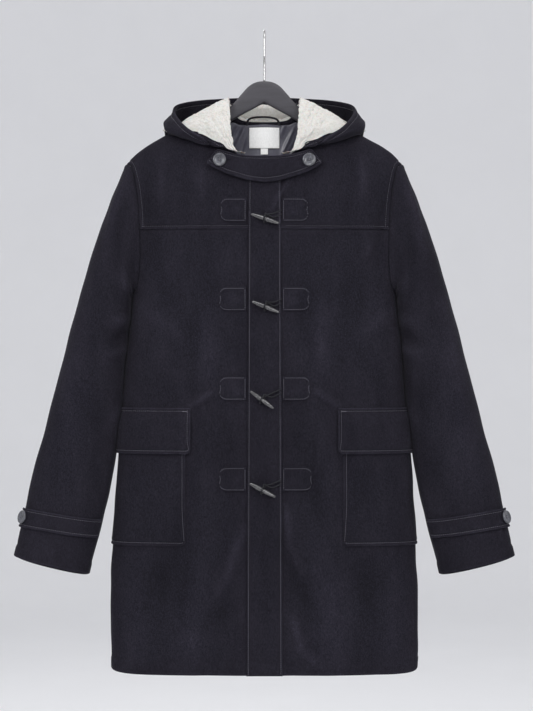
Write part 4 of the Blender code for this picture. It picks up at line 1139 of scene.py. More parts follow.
def blend_colours(tree, mode, first, second, share=None):
    mix = tree.nodes.new("ShaderNodeMix")
    mix.data_type = "RGBA"
    mix.blend_type = mode
    colours = [socket for socket in mix.inputs if socket.type == "RGBA"]
    mix.inputs["Factor"].default_value = 1.0
    if share is not None:
        tree.links.new(share, mix.inputs["Factor"])
    tree.links.new(first, colours[0])
    tree.links.new(second, colours[1])
    return [socket for socket in mix.outputs if socket.type == "RGBA"][0]


def roughen(tree, shader, layers):
    """Bumps chained one over another: (height, strength, distance)."""
    below = None
    for height, strength, distance in layers:
        bump = tree.nodes.new("ShaderNodeBump")
        bump.inputs["Strength"].default_value = strength
        bump.inputs["Distance"].default_value = distance
        tree.links.new(height, bump.inputs["Height"])
        if below is not None:
            tree.links.new(below, bump.inputs["Normal"])
        below = bump.outputs["Normal"]
    tree.links.new(below, shader.inputs["Normal"])


def scaled(colour, amount):
    return tuple(min(channel * amount, 1.0) for channel in colour)


def wool_finish(settings):
    """Brushed wool: short nap lying downwards, mottled, with paler fibre ends, and painted light and
    shade on its folds and edges.
    """
    colour = tuple(settings.colour)
    tree, shader = start_finish(
        "wool", colour, 0.94, Sheen_Weight=0.07, Sheen_Roughness=0.40,
        Sheen_Tint=(0.62, 0.60, 0.68, 1.0), Specular_IOR_Level=0.07,
    )
    clumps = grain(tree, 420.0, 4.0, 0.62, (1.0, 1.0, 0.55))
    nap = tints(tree, clumps, colour, (0.30, 0.62), (0.52, 1.0), (0.74, 1.55))
    streaks = grain(tree, 24.0, 5.0, 0.62, (1.0, 1.0, 0.35))
    patches = shades(tree, streaks, [(0.30, (0.70, 0.70, 0.72)), (0.68, (1.12, 1.12, 1.12))])
    mottled = blend_colours(tree, "MULTIPLY", nap, patches)
    specks = grain(tree, 1500.0, 2.0, 0.7, (1.0, 1.0, 0.4))
    tips = greys(tree, specks, (0.56, 0.0), (0.72, 0.75))
    pale = tints(tree, clumps, colour, (0.0, 2.6), (1.0, 3.4))
    mixed = blend_colours(tree, "MIX", mottled, pale, tips)
    # Painted light and shade from the mesh attribute: darker in fold hollows, paler on fold ridges and
    # turned edges.
    lay = tree.nodes.new("ShaderNodeAttribute")
    lay.attribute_name = PAINTED_SHADE_ATTRIBUTE
    share = tree.nodes.new("ShaderNodeMath")
    share.operation = "MULTIPLY_ADD"
    share.inputs[1].default_value = 0.5
    share.inputs[2].default_value = 0.5
    tree.links.new(lay.outputs["Fac"], share.inputs[0])
    painted_shade_ramp = shades(tree, share.outputs["Value"], [
        (0.0, (0.26, 0.26, 0.26)), (0.5, (0.5, 0.5, 0.5)), (1.0, (0.95, 0.95, 0.96)),
    ])
    painted_shading = blend_colours(tree, "MULTIPLY", mixed, painted_shade_ramp)
    tree.links.new(painted_shading, shader.inputs["Base Color"])
    roughen(tree, shader, [
        (grain(tree, 160.0, 3.0), 0.22, 0.0012),
        (clumps, 0.35, 0.0006),
        (specks, 0.30, 0.0003),
    ])


def pile_finish(settings):
    """Knitted pile: pale curls with painted shade at their roots."""
    colour = tuple(settings.colour)
    tree, shader = start_finish(
        "pile", colour, 0.95, Sheen_Weight=0.35, Sheen_Roughness=0.5,
        Subsurface_Weight=0.12, Subsurface_Scale=0.004,
    )
    curls = grain(tree, 520.0, 4.0, 0.65)
    tufts = grain(tree, 190.0, 2.0)
    # Painted shade in the hollows: the same noises that bump the curls and tufts darken the colour where
    # they are low.
    tint = tints(tree, curls, colour, (0.28, 0.80), (0.50, 1.0), (0.75, 1.08))
    painted_root_shade = shades(tree, tufts, [(0.30, (0.90, 0.885, 0.86)), (0.62, (1.0, 1.0, 1.0))])
    tree.links.new(blend_colours(tree, "MULTIPLY", tint, painted_root_shade), shader.inputs["Base Color"])
    hairs = grain(tree, 1900.0)
    roughen(tree, shader, [(tufts, 0.5, 0.0022), (curls, 0.7, 0.0011), (hairs, 0.5, 0.0004)])


def satin_finish(colour):
    tree, shader = start_finish(
        "satin", colour, 0.34, Anisotropic=0.35, Specular_IOR_Level=0.55, Sheen_Weight=0.15,
    )
    weave = grain(tree, 1400.0, 2.0, 0.5, (1.0, 1.0, 0.12))
    tint = tints(tree, weave, colour, (0.35, 0.82), (0.65, 1.2))
    tree.links.new(tint, shader.inputs["Base Color"])
    ripples = grain(tree, 90.0, 2.0, 0.5, (1.0, 1.0, 0.4), 0.6)
    roughen(tree, shader, [(ripples, 0.25, 0.0016), (weave, 0.10, 0.0002)])


def woven_finish(name, colour, scale):
    """Plain woven tape: crossed threads."""
    tree, shader = start_finish(name, colour, 0.82, Sheen_Weight=0.1)
    warp = grain(tree, scale, 1.0, 0.4, (1.0, 1.0, 0.08))
    weft = grain(tree, scale, 1.0, 0.4, (0.08, 1.0, 1.0))
    tint = tints(tree, warp, colour, (0.30, 0.90), (0.70, 1.05))
    across = greys(tree, weft, (0.30, 0.93), (0.70, 1.0))
    tree.links.new(blend_colours(tree, "MULTIPLY", tint, across), shader.inputs["Base Color"])
    roughen(tree, shader, [(warp, 0.25, 0.0002), (weft, 0.25, 0.0002)])


def horn_finish(name, colour, streak, roughness):
    """Polished horn: long streaks and cloudy bands under a gloss."""
    tree, shader = start_finish(
        name, colour, roughness, Coat_Weight=0.7, Coat_Roughness=0.12, Specular_IOR_Level=0.6,
    )
    streaks = grain(tree, 240.0, 4.0, 0.6, streak)
    clouds = grain(tree, 75.0, 3.0)
    tint = tints(tree, streaks, colour, (0.32, 0.45), (0.50, 1.0), (0.68, 1.7))
    cloudy = shades(tree, clouds, [(0.35, (0.72, 0.73, 0.78)), (0.65, (1.0, 1.0, 1.0))])
    tree.links.new(blend_colours(tree, "MULTIPLY", tint, cloudy), shader.inputs["Base Color"])
    worn = greys(tree, streaks, (0.3, roughness * 0.8), (0.7, roughness * 1.35))
    tree.links.new(worn, shader.inputs["Roughness"])
    roughen(tree, shader, [(streaks, 0.12, 0.0003), (grain(tree, 1100.0), 0.06, 0.0001)])


def cord_finish(colour):
    tree, shader = start_finish("cord", colour, 0.70, Sheen_Weight=0.04, Specular_IOR_Level=0.18)
    fibres = grain(tree, 1700.0, 3.0)
    tint = tints(tree, fibres, colour, (0.35, 0.6), (0.70, 1.8))
    tree.links.new(tint, shader.inputs["Base Color"])
    roughen(tree, shader, [(fibres, 0.4, 0.0003)])


def thread_finish(colour):
    tree, shader = start_finish("thread", colour, 0.6, Sheen_Weight=0.2, Specular_IOR_Level=0.35)
    ply = grain(tree, 2600.0, 2.0)
    tint = tints(tree, ply, colour, (0.35, 0.75), (0.65, 1.25))
    tree.links.new(tint, shader.inputs["Base Color"])
    roughen(tree, shader, [(ply, 0.3, 0.0002)])


def hanger_finish(colour):
    """Stained beech under a matt lacquer, with faint open grain along the arms."""
    tree, shader = start_finish(
        "hanger_wood", colour, 0.52, Specular_IOR_Level=0.35, Coat_Weight=0.12, Coat_Roughness=0.45,
    )
    figure = grain(tree, 130.0, 5.0, 0.65, (0.12, 1.0, 1.0))
    pores = grain(tree, 900.0, 2.0, 0.6, (0.10, 1.0, 1.0))
    tint = tints(tree, figure, colour, (0.30, 0.78), (0.52, 1.0), (0.72, 1.22))
    tree.links.new(tint, shader.inputs["Base Color"])
    worn = greys(tree, figure, (0.3, 0.46), (0.7, 0.60))
    tree.links.new(worn, shader.inputs["Roughness"])
    roughen(tree, shader, [(figure, 0.08, 0.0006), (pores, 0.14, 0.0002)])


def wire_finish(colour):
    tree, shader = start_finish("hook_wire", colour, 0.16, Metallic=1.0)
    drawn = grain(tree, 600.0, 2.0, 0.5, (1.0, 1.0, 0.08))
    worn = greys(tree, drawn, (0.3, 0.20), (0.7, 0.32))
    tree.links.new(worn, shader.inputs["Roughness"])


def make_finishes(scene):
    wool_finish(scene.coat_wool)
    pile_finish(scene.coat_hood)
    trims = scene.coat_trims
    satin_finish(tuple(trims.satin_colour))
    woven_finish("tape", tuple(trims.tape_colour), 2400.0)
    horn_finish("toggle_horn", tuple(trims.toggle_colour), (0.25, 1.0, 1.0), 0.22)
    horn_finish("button_horn", tuple(trims.button_colour), (1.0, 1.0, 0.6), 0.34)
    cord_finish(tuple(trims.cord_colour))
    thread_finish(tuple(trims.thread_colour))
    hanger_finish(tuple(scene.coat_hanger.wood_colour))
    wire_finish(tuple(scene.coat_hanger.wire_colour))


# ---------------------------------------------------------------- the body
def panel_reliefs(face, *edges):
    """The body's folds, with a turned and stitched edge for each named edge."""
    total = coat_relief(face.base)
    for edge, inset, puff in edges:
        total = total + stitched_edge(getattr(face, edge), inset, puff)
    return total


def make_fronts(thread):
    """Each front in two sheets, the front panel and the yoke over it."""
    for hand, lap, along in (
        (LEFT, -FRONT_LAP_X, -FRONT_LAP_ALONG), (RIGHT, FRONT_LAP_X + SEAM, FRONT_LAP_ALONG),
    ):
        name = SIDE_NAMES[hand]
        face = Face(
            lower_panel(FRONT, hand, lap, YOKE_Z - SEAM / 2),
            *grid("front"), BODY_CORE,
        )
        height = coat_relief(face.base) + turn_up(face.bottom)
        height = height - 0.0006 * bell(face.top, 0.003)
        # Painted light and shade: highlights on fold ridges and along the hem, shade in fold hollows.
        lay = painted_fold_shade(face.base) + 0.6 * painted_edge_highlight(face.bottom)
        make_cloth(f"front_{name}", face, height, WALL, lay=lay)
        yoke = Face(
            upper_panel(FRONT, hand, lap, YOKE_Z + SEAM / 2, along),
            *grid("yoke"), BODY_CORE,
        )
        height = panel_reliefs(
            yoke, ("bottom", EDGE_STITCH, 0.0009), ("right", ARMHOLE_STITCH, 0.0006))
        # Painted light and shade: highlights on fold ridges and along the yoke's lower edge, shade in
        # fold hollows.
        lay = painted_fold_shade(yoke.base) + painted_edge_highlight(yoke.bottom)
        make_cloth(f"yoke_{name}", yoke, height, WALL, lay=lay)
        thread.inside(yoke, "bottom", EDGE_STITCH, 0.012, 0.002, SUNK_STITCH_HALF)
        thread.inside(yoke, "right", ARMHOLE_STITCH, 0.002, 0.002, SUNK_STITCH_HALF)


def make_back(thread):
    """The back in one sheet, hem to shoulders, with a pressed seam down its middle."""
    halves = {hand: (lower_panel(BACK, hand, 0.0, YOKE_Z), upper_panel(BACK, hand, 0.0, YOKE_Z, 1.0))
              for hand in (LEFT, RIGHT)}

    def surface(u, v):
        point = np.zeros((*u.shape, 3))
        for hand in (LEFT, RIGHT):
            near = (u < 0) == (hand == LEFT)
            for upper in (False, True):
                here = near & ((v >= 1.0) == upper)
                if here.any():
                    part = halves[hand][int(upper)]
                    level = v[here] - 1.0 if upper else v[here]
                    point[here] = part(np.abs(u[here]), level)
        return point

    half = graded(*GRIDS["back"][0], close_start=False)
    columns = np.concatenate((-half[:0:-1], half))
    lower = graded(*GRIDS["back"][1], close_end=False)
    rows = np.concatenate((lower[:-1], 1.0 + graded(*GRIDS["back_yoke"][1], close_start=False)))
    face = Face(surface, columns, rows, BODY_CORE)
    x = face.base[..., 0]
    height = coat_relief(face.base) + turn_up(face.bottom) + pressed_seam(x, 0.0035)
    # Painted light and shade of the folds: highlights on ridges, shade in hollows.
    lay = painted_fold_shade(face.base)
    make_cloth("back", face, height, WALL, lay=lay)
    for side_x in (-BACK_STITCH, BACK_STITCH):
        column = int(np.argmin(np.abs(x[len(x) // 2] - side_x)))
        thread.row(face.lifted[4:-4, column], face.lifted_normal[4:-4, column])


def make_placket(thread):
    """The band down the front, a layer out from the fronts and wider towards the hem."""
    def surface(u, v):
        spread = 1.0 + PLACKET_SPREAD * (1 - v)
        x = lerp(PLACKET_LEFT_X, PLACKET_RIGHT_X, (u - 0.5) * spread + 0.5)
        return coat_point(x, lerp(HEM_Z, PLACKET_TOP_Z, v), FRONT)

    face = Face(surface, *grid("placket"), BODY_CORE)
    proud = 0.0010 * bell(face.left, 0.006)
    height = SEAM + WALL + proud + turn_up(face.bottom) + panel_reliefs(
        face, ("left", PLACKET_STITCH, 0.0004), ("right", PLACKET_STITCH, 0.0008))
    # Painted light and shade: fold highlights and hollows, and painted highlights along both edges,
    # brighter on the right.
    lay = painted_fold_shade(face.base) + painted_edge_highlight(face.left) * 0.4 + painted_edge_highlight(face.right)
    make_cloth("placket", face, height, WALL, lay=lay)
    thread.inside(face, "left", PLACKET_STITCH, 0.002, 0.020)
    thread.inside(face, "right", PLACKET_STITCH, 0.002, 0.020)


def make_body():
    thread = Thread()
    make_fronts(thread)
    make_back(thread)
    make_placket(thread)
    thread.make("body_stitches")


# ---------------------------------------------------------------- sleeves and cuffs
SLEEVE_ROUND = 0.29           # mean way round a sleeve, for measuring folds
SLEEVE_RUN = 0.68
SLEEVE_SEAMS = (0.5, 0.9375)  # where the top sleeve meets the under sleeve
SLEEVE_DITCH = 0.0013
SLEEVE_RIDGE = 0.0005
SLEEVE_HEAD_EASE = 0.0010     # fullness just below the armhole's seam
SLEEVE_STATIONS = 96
SLEEVE_STEP = 0.0046
TUCKED_ROWS = (-0.008, -0.005, -0.002)
CUFF_LINING_RINGS = 14


def sleeve_folds(u, v):
    rows = measured(SLEEVE_FOLDS, SLEEVE_ROUND, SLEEVE_RUN)
    return soft_lines((u % 1.0) * SLEEVE_ROUND, v * SLEEVE_RUN, rows)


def sleeve_relief(u, v, strength):
    folds = sleeve_folds(u, v) * strength * SLEEVE_FOLD_GAIN
    slow = unevenness(np.cos(2 * math.pi * u) * 0.05, v * SLEEVE_RUN, SLEEVE_UNEVEN)
    return (folds + slow) * smooth(v / 0.03)


def make_sleeves():
    """Each sleeve in one tube that stands for its two solids, with its cuff lining and tab."""
    thread = Thread()
    strength = bpy.context.scene.coat_wool.fold_strength
    around = even(SLEEVE_STATIONS)[:-1]
    for hand, name in SIDE_NAMES.items():
        surface = sleeve_surface(hand)
        run = np.concatenate((TUCKED_ROWS, graded(SLEEVE_RUN, SLEEVE_STEP)))
        face = Face(surface, around, run, closed=True)
        height = sleeve_relief(face.u, face.v, strength) + turn_up(face.top)
        height = height - SEAM_TUCK * smooth(-face.v / 0.002 + 0.25)
        for seam_turn in SLEEVE_SEAMS:
            seam = ((face.u - seam_turn + 0.5) % 1.0 - 0.5) * SLEEVE_ROUND
            height = height - SLEEVE_DITCH * bell(seam, 0.0022)
            height = height + SLEEVE_RIDGE * bell(seam, 0.0035, 0.005)
        height = height + SLEEVE_HEAD_EASE * bell(face.bottom, 0.0035, 0.013)
        # Painted light and shade: highlights on the sleeve's fold ridges and along the cuff edge, shade
        # in its hollows.
        painted_shading = np.clip(0.7 * sleeve_folds(face.u, face.v) / FULL_SHADE_HEIGHT, -1.0, 1.0)
        lay = painted_shading + painted_edge_highlight(face.top) * 0.6
        make_cloth(f"sleeve_{name}", face, height, WALL, lay=lay,
                   stands_for=(f"sleeve_{name}_top", f"sleeve_{name}_under"))
        lining = Face(surface, around, even(CUFF_LINING_RINGS, *CUFF_LINING_SPAN), closed=True)
        depth = sleeve_relief(lining.u, lining.v, strength) - WALL - SEAM
        make_cloth(f"cuff_lining_{name}", lining, depth, SATIN_WALL, "satin")
        make_cuff_tab(name, surface, thread, strength)
    thread.make("sleeve_stitches")


def make_cuff_tab(name, sleeve, thread, strength):
    def surface(u, v):
        turn = lerp(TAB_START_TURN, TAB_END_TURN, u)
        middle = lerp(TAB_START_ALONG, TAB_END_ALONG, u)
        point_share = np.maximum(u - TAB_POINT_FROM, 0.0) / (1 - TAB_POINT_FROM)
        half = CUFF_TAB_HALF * (1 - 0.62 * point_share)
        return sleeve(turn, middle + half * (0.5 - v) * 2)

    middle = sleeve(np.array([[0.0, 0.5]]), np.array([[0.95, 0.95]])).mean(axis=(0, 1))
    face = Face(surface, *grid("cuff_tab"), middle)
    turn = lerp(TAB_START_TURN, TAB_END_TURN, face.u)
    along = lerp(TAB_START_ALONG, TAB_END_ALONG, face.u)
    edge = np.minimum(np.minimum(face.top, face.bottom), face.right)
    height = sleeve_relief(turn, along, strength) + turn_up(np.ones_like(turn))
    height = height + 2 * SEAM + OVERLAY + 0.0009 + stitched_edge(edge, CUFF_TAB_STITCH, 0.0006)
    height = height + 0.0012 * smooth((face.u - 0.8) / 0.2)
    # Painted highlight along the tab's edges.
    make_cloth(f"cuff_tab_{name}", face, height,
               lay=painted_edge_highlight(edge))
    for side in ("top", "bottom"):
        thread.inside(face, side, CUFF_TAB_STITCH, 0.002, 0.006)
    thread.inside(face, "right", CUFF_TAB_STITCH, 0.005, 0.005)
    thread.inside(face, "left", 0.002, 0.002, 0.002)


# ---------------------------------------------------------------- hood
def facing_start(u):
    return lookup(FACING_COLUMNS, FACING_ROWS, "start", hood_section(u))


def pile_end(u):
    return facing_start(u) + PILE_UNDER_FACING


def hood_relief(u, v):
    fade = smooth(v / 0.3) * smooth((1.02 - v) / 0.12)
    across, along = u * HOOD_ROUND, v * HOOD_RUN
    folds = soft_lines(across, along, measured(HOOD_FOLDS, HOOD_ROUND, HOOD_RUN))
    return folds * fade + unevenness(across, along, HOOD_UNEVEN) * fade


# Large odd numbers that scatter one curl in each cell of space, the same in every run.
CELL_FACTORS = (73856093, 19349663, 83492791)
SCATTER_FACTORS = (2654435761, 40503, 668265263)


def pile_lumps(points, size, height):
    """Rounded curls: height falls off from the nearest of many scattered points."""
    cells = np.floor(points / size).astype(np.int64)
    nearest = np.full(points.shape[:-1], 9.0)
    for step in np.ndindex(3, 3, 3):
        cell = cells + (np.array(step) - 1)
        mixed = np.bitwise_xor.reduce(cell * np.array(CELL_FACTORS), axis=-1)
        scatter = np.stack(
            [((mixed * factor) >> 7) % 1009 / 1009.0 for factor in SCATTER_FACTORS], axis=-1)
        away = np.linalg.norm(points / size - (cell + scatter), axis=-1)
        nearest = np.minimum(nearest, away)
    return height * np.sqrt(np.clip(1 - (nearest / 0.95) ** 2, 0.0, 1.0))


def make_hood():
    """The hood's wool, the band of wool inside its opening, and the pile inside the rest."""
    thread = Thread()
    settings = bpy.context.scene.coat_hood
    columns = hood_columns(HOOD_STATIONS)
    rim_rows = graded((1 - RIM_SHARE) * HOOD_RUN, 0.0026, close_start=False)[1:]
    rows = np.concatenate((even(40, 0.0, RIM_SHARE), lerp(RIM_SHARE, 1.0, rim_rows)))
    sign = hood_sign()
    face = Face(hood_surface, columns, rows, sign=sign)
    seam = np.abs(np.abs(face.u) - HOOD_SEAM_TURN) * HOOD_ROUND
    height = hood_relief(face.u, face.v) + stitched_edge(face.top, RIM_STITCH, 0.0010)
    height = height + pressed_seam(seam, 0.003) * smooth(face.v / 0.2)
    # Painted light and shade: a highlight along the rim, highlights on fold ridges, shade in hollows.
    lay = painted_edge_highlight(face.top) + np.clip(hood_relief(face.u, face.v) / FULL_SHADE_HEIGHT, -1.0, 1.0) * 0.6
    make_cloth("hood", face, height, HOOD_WALL,
               lay=lay)
    thread.inside(face, "top", RIM_STITCH, 0.002, 0.002)

    def facing_surface(u, v):
        return hood_surface(u, lerp(facing_start(u), 1.0, v))

    facing = Face(facing_surface, columns, graded(FACING_WIDTH, 0.0022), sign=sign)
    share = lerp(facing_start(facing.u), 1.0, facing.v)
    depth = hood_relief(facing.u, share) - HOOD_WALL - HOOD_GAP
    depth = depth - 0.6 * stitched_edge(facing.top, RIM_STITCH, 0.0010)
    make_cloth("hood_facing", facing, depth, FACING_WALL)
    inner_line = Thread()
    inner_line.inside(facing, "top", RIM_STITCH, 0.004, 0.004)
    drop = FACING_WALL + 0.0003
    for points in inner_line.points:
        nearest = points.reshape(-1, len(STITCH_SHAPE), 3)
        thread_normal = hood_inward(nearest.mean(axis=1), facing)
        thread.points.append((nearest + thread_normal[:, None] * drop).reshape(-1, 3))
    thread.faces += [[index + thread.count for index in stitch] for stitch in inner_line.faces]
    thread.count += inner_line.count

    def pile_surface(u, v):
        return hood_surface(u, v * pile_end(u))

    pile = Face(pile_surface, hood_columns(PILE_STATIONS), even(PILE_ROWS), sign=sign)
    size, tall = settings.curl_size, settings.curl_height
    lumps = pile_lumps(pile.base, size, tall)
    lumps = lumps + pile_lumps(pile.base * 1.01 + 0.3, size * 0.45, tall * 0.45)
    folded = bell(pile.v * pile_end(pile.u), 0.16, 0.46) * smooth((np.abs(pile.u) - 0.12) / 0.15)
    corner = bell(np.abs(pile.base[..., 0]), 0.022, 0.095) * (pile.base[..., 1] < 0.0)
    tucked = 1 - 0.95 * corner * bell(pile.top, 0.010)
    lumps = lumps * (1 - 0.92 * folded) * tucked
    ground = hood_relief(pile.u, pile.v) - HOOD_WALL - HOOD_GAP - FACING_WALL * 0.4
    pile.lift(ground)
    across, along = (unit(step) for step in pile.tangents(pile.base))
    fuzz = pile_lumps(pile.base + 0.7, size * 1.2, tall * 1.6)
    out_left, out_right, out_top, out_bottom = (
        bell(side, FUZZ_REACH) for side in (pile.left, pile.right, pile.top, pile.bottom))
    sideways = across * ((out_right - out_left) * fuzz)[..., None]
    upwards = along * ((out_top * tucked - out_bottom) * fuzz)[..., None]
    top = pile.base + pile.normal * pile.height[..., None]
    low = pile.base + pile.normal * (pile.height - PILE_GROUND - lumps)[..., None] + sideways + upwards
    quads = shell_faces(*pile.u.shape, False, pile.sign).tolist()
    piece = add_piece("hood_pile_cloth", np.stack((top, low)), quads, FINISH["pile"])
    flat, area = pile.cut()
    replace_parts(piece, "hood_pile")
    thread.make("hood_stitches")


def hood_sign():
    """Which way round the hood's grid its wool faces, read at the middle of its back."""
    patch = Face(hood_surface, np.array([-0.02, 0.0, 0.02]), np.array([0.70, 0.72, 0.74]), HOOD_CORE)
    return patch.sign


def hood_inward(middles, facing):
    """The inward direction of the facing nearest to each of some points."""
    flat_points = facing.lifted.reshape(-1, 3)
    flat_normals = facing.lifted_normal.reshape(-1, 3)
    picks = [int(np.argmin(((flat_points - middle) ** 2).sum(axis=1))) for middle in middles]
    return -flat_normals[picks]


def hood_columns(count):
    """Places round the hood, closer together at the sides, where it turns."""
    half = [1.0 - station / HOOD_SECTIONS for station in range(int(HOOD_SECTIONS) + 1)]
    weights = (0.5, 0.5, 0.9, 1.2, 1.3, 1.4, 1.5, 1.6, 1.5, 1.2)
    run = np.concatenate(([0.0], np.cumsum(weights)))
    at = np.linspace(0.0, run[-1], count // 2 + 1)
    side = np.interp(at, run, half)
    return np.concatenate((-side, side[-2::-1]))


# ---------------------------------------------------------------- throat tab and buttons
def tab_edge(name, x):
    return lookup(TAB_COLUMNS, TAB_ROWS, name, np.abs(x))


def tab_surface(u, v):
    reach = TAB_ROWS[-1][0]
    x = lerp(-reach, reach, u)
    point = coat_point(x, lerp(tab_edge("bottom", x), tab_edge("top", x), v), FRONT)
    point[..., 1] -= TAB_LIFT
    return point


def make_throat_tab():
    thread = Thread()
    face = Face(tab_surface, *grid("throat_tab"), BODY_CORE)
    ends = np.minimum(face.left, face.right)
    edge = np.minimum(np.minimum(face.bottom, face.top * 1.6), ends)
    height = TAB_WALL + stitched_edge(edge, TAB_STITCH, 0.0011) + 0.0006 * smooth(edge / 0.016)
    height = height + unevenness(face.base[..., 0], face.base[..., 2], 0.0004)
    slits = tab_slit(face)
    height = height - 0.0009 * slits
    # Painted highlight along the edges and painted shade in the buttonhole slits.
    lay = painted_edge_highlight(edge) - 0.8 * slits
    make_cloth("throat_tab", face, height, TAB_WALL, lay=lay)
    thread.inside(face, "bottom", TAB_STITCH, 0.003, 0.003)
    thread.inside(face, "top", 0.0045, 0.006, 0.006)
    thread.make("throat_tab_stitches")


def tab_slit(face):
    """Worked buttonholes just inside the buttons, as narrow level grooves."""
    x, z = np.abs(face.base[..., 0]), face.base[..., 2]
    along = np.clip(np.abs(x - (THROAT_BUTTON_X - 0.014)) / 0.007, 0.0, 1.0)
    return bell(z, 0.0012, SLIT_Z) * (1 - along ** 4)


BUTTON_PROFILE = (
    # place out from the middle, height above the back, as shares of radius and thickness
    (0.00, 0.62), (0.30, 0.62), (0.52, 0.64), (0.66, 0.72), (0.74, 0.90), (0.82, 1.00),
    (0.90, 0.98), (0.97, 0.82), (1.00, 0.55), (0.98, 0.22), (0.90, 0.04), (0.60, 0.00), (0.00, 0.00),
)
BUTTON_FACE_ROWS = 9          # rows of the profile on the button's upper side
BUTTON_SIDES = 72
BUTTON_HOLES = 4
BUTTON_HOLE_OUT = 0.0024
BUTTON_HOLE_RADIUS = 0.0011
BUTTON_HOLE_DEPTH = 0.0018


def make_button(name, seat, normal, node):
    """A turned button: raised rim, dished middle and four drilled holes with crossed thread."""
    sides = BUTTON_SIDES
    turn = np.linspace(0, 2 * math.pi, sides, endpoint=False)
    outs = np.concatenate((np.linspace(0.0, 0.5, 24), np.linspace(0.52, 1.0, 14)))
    places, heights = np.array(BUTTON_PROFILE[:BUTTON_FACE_ROWS]).T
    rings = [(share, float(np.interp(share, places, heights))) for share in outs[1:]]
    rings += BUTTON_PROFILE[BUTTON_FACE_ROWS:-1]
    up = Vector(normal).normalized()
    side = up.cross(Vector((0.0, 0.0, 1.0))).normalized()
    other = side.cross(up)
    basis = np.array((side, other, up))
    points = []
    for index, (share, tall) in enumerate(rings):
        x, y = np.cos(turn) * share * BUTTON_RADIUS, np.sin(turn) * share * BUTTON_RADIUS
        level = np.full(sides, tall * BUTTON_THICK)
        if index < len(outs) - 1:
            level = level - hole_depth(x, y)
        points.append(np.stack((x, y, level), axis=-1))
    centre_top = np.array((0.0, 0.0, BUTTON_PROFILE[0][1] * BUTTON_THICK))
    corners = np.concatenate((np.concatenate(points), centre_top[None], np.zeros((1, 3))))
    corners = corners @ basis + np.array(seat)
    top, bottom = len(rings) * sides, len(rings) * sides + 1
    faces = [(a, d, c, b) for a, b, c, d in ring_faces(len(rings), sides, capped=False)]
    for col in range(sides):
        after = (col + 1) % sides
        faces.append((top, col, after))
        faces.append((bottom, top - sides + after, top - sides + col))
    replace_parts(add_piece(name, corners, faces, FINISH["button_horn"]), node)
    make_button_thread(f"{name}_thread", np.array(seat), basis)


def hole_depth(x, y):
    total = np.zeros_like(x)
    for hole in range(BUTTON_HOLES):
        turn = math.pi / 4 + hole * math.pi / 2
        away = np.hypot(x - math.cos(turn) * BUTTON_HOLE_OUT, y - math.sin(turn) * BUTTON_HOLE_OUT)
        inside = (BUTTON_HOLE_RADIUS - away) / (BUTTON_HOLE_RADIUS * 0.45)
        total = np.maximum(total, smooth(inside + 0.5))
    return total * BUTTON_HOLE_DEPTH


def make_button_thread(name, seat, basis):
    level = BUTTON_PROFILE[0][1] * BUTTON_THICK
    for index, lean in enumerate((1.0, -1.0)):
        start = np.array((-BUTTON_HOLE_OUT * 0.7, -BUTTON_HOLE_OUT * 0.7 * lean))
        path = []
        for share in np.linspace(-1.0, 1.0, 13):
            x, y = start * share
            rise = level + 0.0004 + index * 0.0005 - 0.0015 * abs(share) ** 6
            path.append((x * 1.04, y * 1.04, rise))
        path = np.array(path) @ basis + seat
        tube(f"{name}_{index + 1}", path, 0.00038, 8, FINISH["thread"])


def make_buttons():
    for hand, name in SIDE_NAMES.items():
        place = 0.5 + THROAT_BUTTON_X * hand / (2 * TAB_ROWS[-1][0])
        point, normal = seat_on(tab_surface, place, 0.5)
        make_button(f"throat_button_{name}_horn", point + normal * (TAB_WALL + BUTTON_SEAT), normal,
                    f"throat_button_{name}")
        sleeve = sleeve_surface(hand)
        along = lerp(TAB_START_ALONG, TAB_END_ALONG,
                     (TAB_BUTTON_TURN - TAB_START_TURN) / (TAB_END_TURN - TAB_START_TURN))
        point, normal = seat_on(sleeve, TAB_BUTTON_TURN, along)
        if normal[0] * hand < 0:
            normal = -normal
        seat = point + normal * (3 * SEAM + OVERLAY + BUTTON_SEAT + 0.0012)
        make_button(f"cuff_button_{name}_horn", seat, normal, f"cuff_button_{name}")


def seat_on(surface, u, v):
    """A point of a surface and the direction straight out of the coat there."""
    reach = 0.002
    us = np.array([[u - reach, u, u + reach]] * 3)
    vs = np.array([[v - reach] * 3, [v] * 3, [v + reach] * 3])
    patch = surface(us, vs)
    normal = unit(np.cross(patch[1, 2] - patch[1, 0], patch[2, 1] - patch[0, 1]))
    if normal[1] > 0:
        normal = -normal
    return patch[1, 1], normal


